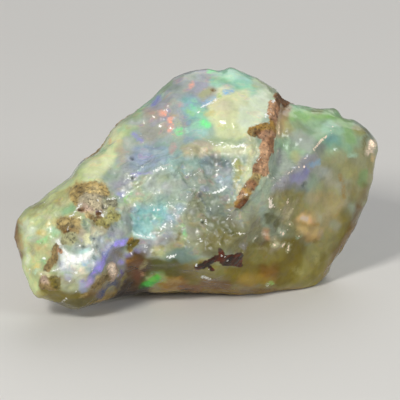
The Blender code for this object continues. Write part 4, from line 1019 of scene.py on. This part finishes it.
def painted_body(skin):
    """The opal's own colours, and how light they are before they are made livelier."""
    body = np.tile(TINTS["potch"], (len(skin.places), 1))
    for turn, (tint, level) in enumerate(UNSEEN_FIELDS):
        field = noise_at(skin.places, UNSEEN_SIZE - UNSEEN_STEP * turn, 3.0 * turn + 1.5, 2)
        blend(body, TINTS[tint], UNSEEN_COVER * eased(field, level, level + UNSEEN_SOFT))
    blend(body, TINTS["green grey"], 0.9 * skin.front)
    # The stone is browner toward its foot, and painted darker there as shade under it. Each colour shows
    # from one rise to another.
    wavy_rise = skin.rise + 1.4 * noise_at(skin.places, 3.4, 6.0)
    blend(body, TINTS["khaki"], 0.55 * eased(wavy_rise, 7.0, 2.0))
    blend(body, TINTS["olive"], 0.60 * eased(skin.rise, 4.0, 0.5))
    blend(body, TINTS["tan"], 0.70 * eased(skin.rise, 2.0, 0.4))
    for tint, amount, half_width, soft, *points in FRONT_COLOUR:
        blend(body, TINTS[tint], amount * skin.patch(half_width, soft, points))
    light = body @ np.array(LIGHTNESS)
    lively = LIVELINESS + DARK_LIVELINESS * eased(light, 0.35, 0.05)
    body = np.clip(light[:, None] + lively[:, None] * (body - light[:, None]), 0.0, 1.0)
    return body, light


def painted_marks(skin, body):
    """The tint of the front's small marks, how much each covers, and how far inside one it is."""
    mark_tint = body.copy()
    mark_cover = np.zeros(len(body))
    mark = np.zeros(len(body))
    for tint, amount, half_width, *points in FRONT_MARKS:
        share = skin.mark(half_width, points)
        around = eased(share, 0.0, 0.3)
        blend(mark_tint, TINTS[tint], around)
        mark_cover += around * (amount - mark_cover)
        mark = np.maximum(mark * (1.0 - around), share)
    return mark_tint, mark_cover, mark


def painted_matrix(skin):
    """The browns of the sandy matrix, and how far it covers each point."""
    crust = np.tile(TINTS["sand"], (len(skin.places), 1))
    for tint, amount, size, start, whole in MATRIX_BLOTCHES:
        blotch = eased(noise_at(skin.places, size, start, 2), BLOTCH_FROM, whole)
        blend(crust, TINTS[tint], amount * blotch)
    seam = back_seam(skin)
    blend(crust, TINTS["rust"], 0.5 * seam)
    matrix = np.maximum(raised_crust(skin), seam)
    for tint, half_width, soft, *points in FRONT_MATRIX:
        # The tint reaches further than the cover does, so that no other brown shows at its edge.
        wide = half_width + min(half_width, 0.45)
        blend(crust, TINTS[tint], skin.patch(wide, 0.3, points, MATRIX_WANDER))
        cover = skin.patch(half_width, 0.2 + soft, points, MATRIX_WANDER)
        matrix = np.maximum(matrix, cover)
    return crust, matrix


def most(covers, skin):
    """The largest of several covers at each point, or 0."""
    largest = np.zeros(len(skin.places))
    for cover in covers:
        largest = np.maximum(largest, cover)
    return largest


def painted_glints(skin):
    """How much painted glint each point has, along the edges of flakes and in the small bright points.
    """
    edges = (
        strength * skin.tent(EDGE_GLINT_REACH, points, EDGE_GLINT_WANDER)
        for strength, *points in FRONT_EDGE_GLINTS
    )
    glints = (
        GLINT_STRENGTH * skin.tent(2.0 * radius, ((across, rise),), GLINT_WANDER)
        for across, rise, radius in FRONT_GLINTS
    )
    return np.maximum(most(edges, skin), most(glints, skin))


def pit_shading(skin):
    """How much painted shade darkens each point in the pits of the front. A deep pit is the darkest."""
    return most(
        (
            min(1.0, 4.0 * depth) * skin.patch(radius, 0.2, ((across, rise),))
            for across, rise, radius, depth in FRONT_PITS
        ),
        skin,
    )


def clear_share(skin):
    """How clear the opal is: in the glassy right half of the front, and in fields behind."""
    rightward = skin.across - 0.5 * (skin.rise - 8.0)
    clear = skin.front * eased(rightward, 3.0, 8.5) * eased(skin.rise, 2.0, 5.0)
    behind = (1.0 - skin.front) * eased(noise_at(skin.places, 6.0, 5.0), -0.1, 0.4)
    return np.maximum(clear, behind)


def play_share(skin, light):
    """How strongly colours play at each point. They don't play in the dark ones."""
    glassy = eased(skin.across, 4.0, 8.0)
    strength = PLAY - GLASSY_LESS * glassy + UNSEEN_MORE * (1.0 - skin.front)
    return eased(light, 0.10, 0.30) * strength


def paint(skin):
    """Keep the colours and covers of every finish on the skin, and give back those of the two
    that aren't opal, because flakes don't cross them."""
    body, light = painted_body(skin)
    mark_tint, mark_cover, mark = painted_marks(skin, body)
    crust, matrix = painted_matrix(skin)
    iron = most((skin.mark(half_width, points) for half_width, *points in FRONT_IRONSTONE), skin)
    skin.keep("body_tint", body)
    skin.keep("mark_tint", mark_tint)
    skin.keep("mark", mark)
    skin.keep("mark_cover", mark_cover)
    skin.keep("matrix_tint", crust)
    skin.keep("matrix", matrix)
    skin.keep("ironstone", iron)
    skin.keep("bruise", painted_glints(skin))
    skin.keep("pit", pit_shading(skin))
    skin.keep("clear", clear_share(skin))
    skin.keep("play", play_share(skin, light))
    return matrix, iron


def brokenness(skin):
    """How flaked each point is, from 0 on smooth glassy skin to 1 on freshly broken skin."""
    elsewhere = 0.30 + 0.50 * eased(noise_at(skin.places, 5.0, 11.0, 2), -0.2, 0.3)
    broken = elsewhere * (1.0 - skin.front) + FRONT_BROKEN_LEAST * skin.front
    for amount, half_width, soft, *points in FRONT_BROKEN:
        broken = np.maximum(broken, amount * skin.patch(half_width, soft, points))
    return broken


def flake(skin, matrix, iron, broken):
    """Press the fine relief into the skin: flakes and their ridges, ripples, grains and pits."""
    places = skin.places
    bend = np.stack([noise_at(places, BEND_SIZE, start) for start in BEND_STARTS], axis=1)
    height = np.zeros(len(places))
    ridge = np.zeros(len(places))
    # Each flake is a shallow bowl about a point of its own, and ridges run between the bowls.
    for size, depth, sharp, ripple, start in FLAKES:
        near, second = cells_at(places + FLAKE_BEND * size * bend, size, start)
        height += depth * (near**2 - 0.30)
        ridge = np.maximum(ridge, sharp * eased(second - near, 0.16, 0.0))
        height += ripple * np.sin(near * size / RIPPLE_STEP * math.tau) * eased(near, 0.2, 0.6)
    height += 0.030 * noise_at(places, 0.55, 2.0, 2)
    height *= broken * (1.0 - 0.8 * np.maximum(matrix, iron))
    skin.keep("broken", broken)
    skin.keep("ridge", ridge * broken)

    # Matrix stands proud and has grains and crumbs. Ironstone is smoother.
    grains = noise_at(places, 0.42, 6.0, 3)
    crumbs, _ = cells_at(places, 0.36, 2.0)
    height += matrix * (0.06 + 0.12 * grains + 0.05 * (0.5 - crumbs))
    height += iron * (0.08 + 0.04 * grains)
    for across, rise, radius, depth in FRONT_PITS:
        away = line_distance(((across, rise),), skin.across, skin.rise)
        height -= skin.front * depth * np.exp(-((away / radius) ** 2))

    # The foot that the stone rests on stays as it is, and no point leaves the solid's box.
    height *= eased(places[:, 2], 0.0, 0.5)
    moved = places + skin.normals * height[:, None]
    moved = np.clip(moved, np.array(cad_low) / MM, np.array(cad_high) / MM)
    skin.mesh.vertices.foreach_set("co", (moved * MM).ravel())
    skin.mesh.update()


def fine_skin(node):
    """A fine, even mesh over the solid stone, with its facets eased away."""
    mesh = bmesh.new()
    mesh.from_mesh(node.data)
    bmesh.ops.remove_doubles(mesh, verts=mesh.verts, dist=0.01 * MM)
    data = bpy.data.meshes.new("opal_skin")
    mesh.to_mesh(data)
    mesh.free()
    stone = bpy.data.objects.new("opal_skin", data)
    bpy.context.scene.collection.objects.link(stone)
    grid = stone.modifiers.new("grid", "REMESH")
    grid.mode = "VOXEL"
    grid.voxel_size = SKIN_GRID * MM
    easing = stone.modifiers.new("easing", "SMOOTH")
    easing.factor = 0.5
    easing.iterations = SKIN_EASING
    settled = stone.evaluated_get(bpy.context.evaluated_depsgraph_get())
    stone.data = bpy.data.meshes.new_from_object(settled)
    stone.modifiers.clear()
    bpy.data.meshes.remove(data)
    stone.data.shade_smooth()
    return stone


class Wiring:
    """A material's nodes, and the place on the object in mm that its patterns read."""

    def __init__(self, name):
        self.material = bpy.data.materials.new(name)
        self.material.use_nodes = True
        self.tree = self.material.node_tree
        self.surface = self.tree.nodes["Principled BSDF"]
        coordinates = self.add("TexCoord", out="Object")
        self.in_mm = self.add("Mapping", {"Vector": coordinates, "Scale": (1.0 / MM,) * 3})

    def add(self, kind, inputs=(), out=0, stops=(), **settings):
        """Add a node with its settings, links and colour stops, and give back one output."""
        node = self.tree.nodes.new("ShaderNode" + kind)
        for name, value in settings.items():
            setattr(node, name, value)
        self.feed(node, inputs)
        if stops:
            elements = node.color_ramp.elements
            while len(elements) < len(stops):
                elements.new(0.5)
            for element, (place, tint) in zip(elements, stops):
                element.position = place
                element.color = opaque(tint)
        return node.outputs[out]

    def feed(self, node, inputs):
        """Set or link inputs, given in a row or by name or number. A word stands for its tint."""
        pairs = inputs.items() if isinstance(inputs, dict) else enumerate(inputs)
        for key, value in pairs:
            if isinstance(value, bpy.types.NodeSocket):
                self.tree.links.new(value, node.inputs[key])
            else:
                node.inputs[key].default_value = opaque(value) if isinstance(value, str) else value

    def layered(self, ground, *layers):
        """Lay colours over a ground, each with its share, its tint and how it mixes."""
        for share, tint, how in layers:
            colours = {MIX_SHARE: share, MIX_UNDER: ground, MIX_OVER: tint}
            ground = self.add("Mix", colours, MIXED, data_type="RGBA", blend_type=how)
        return ground

    def steeper(self, share, gain):
        """A share made steeper about one half, and kept from 0 to 1."""
        centred = self.add("Math", (share, 0.5), operation="SUBTRACT")
        return self.add("Math", (centred, gain, 0.5), operation="MULTIPLY_ADD", use_clamp=True)


def opal_sources(wiring):
    """What the opal's finishes read: what the skin keeps, strokes, noise and grains."""
    add = wiring.add
    in_mm = wiring.in_mm
    source = {"in_mm": in_mm}
    for name in KEPT_TINTS:
        source[name] = add("Attribute", out="Color", attribute_name=name)
    for name in KEPT_SHARES:
        source[name] = add("Attribute", out="Fac", attribute_name=name)
    waver = add("TexNoise", {"Vector": in_mm, "Scale": 1.0 / WAVER_SIZE, "Detail": 2.0}, "Color")
    wavered = add("VectorMath", (in_mm, waver), operation="ADD")
    source["wavered"] = wavered
    turned = {"Vector": wavered, "Rotation": STROKE_TURN, "Scale": STROKE_SQUEEZE}
    source["stroke"] = add("Mapping", turned)
    for name, (size, detail, place) in NOISES.items():
        inputs = {"Vector": source[place], "Scale": 1.0 / size, "Detail": detail}
        source[name] = add("TexNoise", inputs)
    grains = add("TexVoronoi", {"Vector": in_mm, "Scale": 1.0 / GRAIN_SIZE}).node.outputs
    source["grain_gap"] = grains["Distance"]
    source["grain_hue"] = grains["Color"]
    return source


def play_of_colour(wiring, source):
    """Wavering strokes inside the opal that change hue from cell to cell, and small pins."""
    add = wiring.add
    stroke = source["stroke"]
    cells = add("TexVoronoi", {"Vector": stroke, "Scale": 1.0 / PLAY_SIZE}, "Color", feature="SMOOTH_F1")
    play = add("ValToRGB", (add("SeparateColor", (cells,)),), stops=PLAY_HUES)

    pin_cells = add("TexVoronoi", {"Vector": stroke, "Scale": 1.0 / PIN_SIZE}, "Color")
    chance = add("SeparateColor", (pin_cells,)).node.outputs
    pin_hue = add("ValToRGB", (chance["Red"],), stops=PIN_HUES)
    few = add("Math", (chance["Green"], 0.93), operation="GREATER_THAN")
    strength = add("Math", (source["play"], 2.0), operation="MULTIPLY")
    pin = add("Math", (few, strength), operation="MULTIPLY")
    flocks = add("Math", (source["cloud"], 4.0, -1.9), operation="MULTIPLY_ADD", use_clamp=True)
    pin = add("Math", (pin, flocks), operation="MULTIPLY")
    return (source["play"], play, "MIX"), (pin, pin_hue, "MIX")


def small_marks(wiring, source):
    """The front's small marks and flashes, some of them painted highlights and glints, whose edges
    the grain breaks up.
    """
    add = wiring.add
    ragged = add("Math", (source["ragged"], source["cloud"]), operation="ADD")
    ragged = add("Math", (ragged, 0.9, -0.9), operation="MULTIPLY_ADD")
    mark = wiring.steeper(add("Math", (source["mark"], ragged), operation="ADD"), 1.5)
    streaks = add("Math", (source["streak"], 2.4, -0.35), operation="MULTIPLY_ADD", use_clamp=True)
    cover = add("Math", (streaks, source["mark_cover"]), operation="MULTIPLY")
    return add("Math", (mark, cover), operation="MULTIPLY"), source["mark_tint"], "MIX"


def flaked_skin(wiring, source):
    """Flaked skin is mottled light and dark, and darker hairlines run through it."""
    add = wiring.add
    mottle = add("ValToRGB", (source["fine"],), stops=((0.34, 0.80), (0.50, 1.0), (0.64, 1.12)))
    mottled = add("Math", (source["broken"], 0.50), operation="MULTIPLY")
    cells = {"Vector": source["wavered"], "Scale": 1.0 / CRACK_SIZE}
    crack = add("TexVoronoi", cells, "Distance", feature="DISTANCE_TO_EDGE")
    crack = add("ValToRGB", (crack,), stops=((0.012, 1.0), (0.05, 0.0)))
    crack = add("Math", (crack, source["broken"]), operation="MULTIPLY")
    crack = add("Math", (crack, wiring.steeper(source["cloud"], 8.0)), operation="MULTIPLY")
    crack = add("Math", (crack, 0.22), operation="MULTIPLY")
    return (mottled, mottle, "MULTIPLY"), (crack, "dark slate", "MIX")


def sandy_matrix(wiring, source, edge):
    """Packed sand grains of several browns, with darker gaps between them."""
    add = wiring.add
    hue = add("SeparateColor", (source["grain_hue"],))
    grains = add("ValToRGB", (hue,), stops=((0.06, 0.48), (0.16, 0.78), (0.6, 0.96), (1.0, 1.18)))
    blotches = add("ValToRGB", (source["blotch"],), stops=((0.36, 0.68), (0.6, 1.12)))
    shades = ((1.0, grains, "MULTIPLY"), (1.0, blotches, "MULTIPLY"))
    sand = wiring.layered(source["matrix_tint"], *shades)
    cover = add("Math", (edge, 1.1, source["matrix"]), operation="MULTIPLY_ADD")
    return wiring.steeper(cover, 2.8), sand, "MIX"


def ironstone(wiring, source, edge):
    """Dark red ironstone, glossy and opaque."""
    add = wiring.add
    reds = ((0.40, "peat"), (0.56, "dark iron"), (0.80, "ironstone red"))
    red = add("ValToRGB", (source["iron_cloud"],), stops=reds)
    cover = add("Math", (edge, 0.5, source["ironstone"]), operation="MULTIPLY_ADD")
    return wiring.steeper(cover, 6.0), red, "MIX"


def glint_specks(wiring, source):
    """How far white specks, which are painted glints, cover the stone: in broken lines along the edges
    of flakes and on some of the ridges between flakes, and in the small bright points."""
    add = wiring.add
    some = add("Math", (source["cloud"], 4.0, -1.5), operation="MULTIPLY_ADD", use_clamp=True)
    ridge = add("Math", (source["ridge"], some), operation="MULTIPLY")
    ridge = add("Math", (ridge, 0.82), operation="MULTIPLY")
    edges = add("Math", (source["bruise"], ridge), operation="MAXIMUM")
    grain = add("Math", (source["grit"], source["fine"]), operation="ADD")
    grain = add("Math", (grain, 0.8, -1.36), operation="MULTIPLY_ADD")
    specks = add("Math", (edges, 0.78, grain), operation="MULTIPLY_ADD")
    return add("Math", (specks, 9.0), operation="MULTIPLY", use_clamp=True)


def opal_relief(wiring, source, matrix):
    """Fine roughness, more of it on broken skin and matrix, and gaps between the sand grains."""
    add = wiring.add
    rough = add("Math", (source["broken"], matrix), operation="ADD")
    rough = add("Math", (rough, 0.8, 0.12), operation="MULTIPLY_ADD")
    relief = add("Math", (source["grit"], 0.3, source["fine"]), operation="MULTIPLY_ADD")
    relief = add("Math", (relief, rough), operation="MULTIPLY")
    gaps = add("Math", (source["grain_gap"], matrix), operation="MULTIPLY")
    relief = add("Math", (gaps, -0.6, relief), operation="MULTIPLY_ADD")
    return add("Bump", {"Strength": 1.0, "Distance": 0.07 * MM, "Height": relief})


def opal_material():
    """Rough precious opal in sandy matrix. Its look comes from a clear gloss over milky stone that
    is seen into a little way, from flake facets that catch the lamps one by one, from white glints
    painted along flake edges, and from dull brown grains and glossy dark red ironstone that stop the
    light."""
    wiring = Wiring("precious_opal_in_sandy_matrix")
    add = wiring.add
    source = opal_sources(wiring)
    clouding = add("ValToRGB", (source["cloud"],), stops=((0.30, 0.80), (0.50, 1.0), (0.70, 1.12)))
    edge = add("Math", (source["edge"], 0.5), operation="SUBTRACT")
    matrix = sandy_matrix(wiring, source, edge)
    iron = ironstone(wiring, source, edge)
    # Pits are darkened with painted shade.
    pit_shade_share = add("Math", (source["pit"], 0.85), operation="MULTIPLY")
    # Ridges between flakes are made a little paler, a painted highlight along them.
    ridge_highlight = add("Math", (source["ridge"], 0.10), operation="MULTIPLY")
    # The painted glints are white in milky opal and peach in the clear, which glows warm.
    white = glint_specks(wiring, source)
    glint_cover = add("Math", (white, 0.85), operation="MULTIPLY")
    glint_tint = wiring.layered("white", (source["clear"], "peach", "MIX"))
    body = wiring.layered(
        source["body_tint"],
        *play_of_colour(wiring, source),
        (1.0, clouding, "MULTIPLY"),
        small_marks(wiring, source),
        *flaked_skin(wiring, source),
        matrix,
        iron,
        (pit_shade_share, "black", "MIX"),
        (ridge_highlight, "pale cream", "MIX"),
        (glint_cover, glint_tint, "MIX"),
    )

    # Where matrix, ironstone and the painted white glints leave the opal bare, light goes into it.
    covered = add("Math", (matrix[0], iron[0]), operation="MAXIMUM")
    covered = add("Math", (covered, white), operation="MAXIMUM")
    bare = add("Math", (1.0, covered), operation="SUBTRACT")
    clear = add("Math", (source["clear"], 0.25), operation="MULTIPLY")
    polish = add("ValToRGB", (source["cloud"],), stops=((0.35, 0.07), (0.65, 0.15)))
    gloss = add("Math", (source["broken"], 0.08, polish), operation="MULTIPLY_ADD")
    # Opal's IOR is between 1.37 and 1.47.
    finish = {
        "Base Color": body,
        "Roughness": add("Math", (matrix[0], 0.42, gloss), operation="MULTIPLY_ADD"),
        "IOR": 1.40,
        "Normal": opal_relief(wiring, source, matrix[0]),
        "Subsurface Weight": add("Math", (bare, 0.15), operation="MULTIPLY"),
        "Subsurface Radius": (1.0, 0.95, 0.80),
        "Subsurface Scale": 0.7 * MM,
        "Transmission Weight": add("Math", (bare, clear), operation="MULTIPLY"),
        "Coat Weight": add("Math", (bare, 0.25), operation="MULTIPLY"),
        "Coat Roughness": 0.03,
        "Coat IOR": 1.45,
    }
    wiring.feed(wiring.surface, finish)
    return wiring.material


def floor_material():
    """Matt pale card, so faintly mottled that it reads as plain."""
    wiring = Wiring("matt_pale_card")
    mottle = wiring.add("TexNoise", {"Vector": wiring.in_mm, "Scale": 1.0 / CARD_MOTTLE})
    tone = wiring.add("ValToRGB", (mottle,), stops=((0.0, "shaded card"), (1.0, "card")))
    wiring.feed(wiring.surface, {"Base Color": tone, "Roughness": 0.65})
    return wiring.material


def make_floor():
    """A wide plain floor under the stone."""
    mesh = bmesh.new()
    bmesh.ops.create_grid(mesh, x_segments=1, y_segments=1, size=FLOOR_HALF)
    data = bpy.data.meshes.new("floor")
    mesh.to_mesh(data)
    mesh.free()
    data.materials.append(floor_material())
    floor = bpy.data.objects.new("floor", data)
    bpy.context.scene.collection.objects.link(floor)


def make_light(name, azimuth, elevation, distance, size, power, tint):
    """A square soft light that looks at the stone from a side, in degrees and metres."""
    turn = math.radians(azimuth)
    lift = math.radians(elevation)
    sideways = math.sin(turn) * math.cos(lift)
    forward = -math.cos(turn) * math.cos(lift)
    way = Vector((sideways, forward, math.sin(lift)))
    data = bpy.data.lights.new(name, "AREA")
    data.shape = "SQUARE"
    data.size = size
    data.energy = power
    data.color = linear(tint)
    light = bpy.data.objects.new(name, data)
    light.location = way * distance + Vector((0.0, 0.0, 9.0 * MM))
    light.rotation_mode = "QUATERNION"
    light.rotation_quaternion = (-way).to_track_quat("-Z", "Y")
    bpy.context.scene.collection.objects.link(light)


def make_studio():
    """Lamps from the upper left and behind, soft fill, and small lamps that the facets catch."""
    for lamp in LAMPS:
        make_light(*lamp)
    world = bpy.data.worlds.new("pale_surround")
    world.use_nodes = True
    glow = world.node_tree.nodes["Background"]
    glow.inputs["Color"].default_value = opaque("daylight")
    glow.inputs["Strength"].default_value = 0.25
    bpy.context.scene.world = world


def make_camera():
    """A long lens, square on to the broad face."""
    away = 1.0
    frame_width = 35.21 * MM
    aim_across, aim_rise = 0.242, 8.944
    rise_way = Vector((0.0, math.sin(LEAN), math.cos(LEAN)))
    back = Vector((0.0, -math.cos(LEAN), math.sin(LEAN)))
    aim = (Vector((aim_across, -STAND_BACK, 0.0)) + rise_way * aim_rise) * MM
    data = bpy.data.cameras.new("camera")
    data.sensor_width = 36.0
    data.lens = data.sensor_width * away / frame_width
    camera = bpy.data.objects.new("camera", data)
    camera.location = aim + back * away
    camera.rotation_mode = "QUATERNION"
    camera.rotation_quaternion = (-back).to_track_quat("-Z", "Y")
    bpy.context.scene.collection.objects.link(camera)
    bpy.context.scene.camera = camera


def make_stone():
    """The dressed stone in place of the plain solid."""
    stone = fine_skin(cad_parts["opal_stone"])
    skin = Skin(stone.data)
    matrix, iron = paint(skin)
    flake(skin, matrix, iron, brokenness(skin))
    stone.data.materials.clear()
    stone.data.materials.append(opal_material())
    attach(stone, "root")
    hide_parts("opal_stone")


make_camera()
make_floor()
make_studio()
make_stone()
bpy.context.scene.view_settings.view_transform = "Standard"
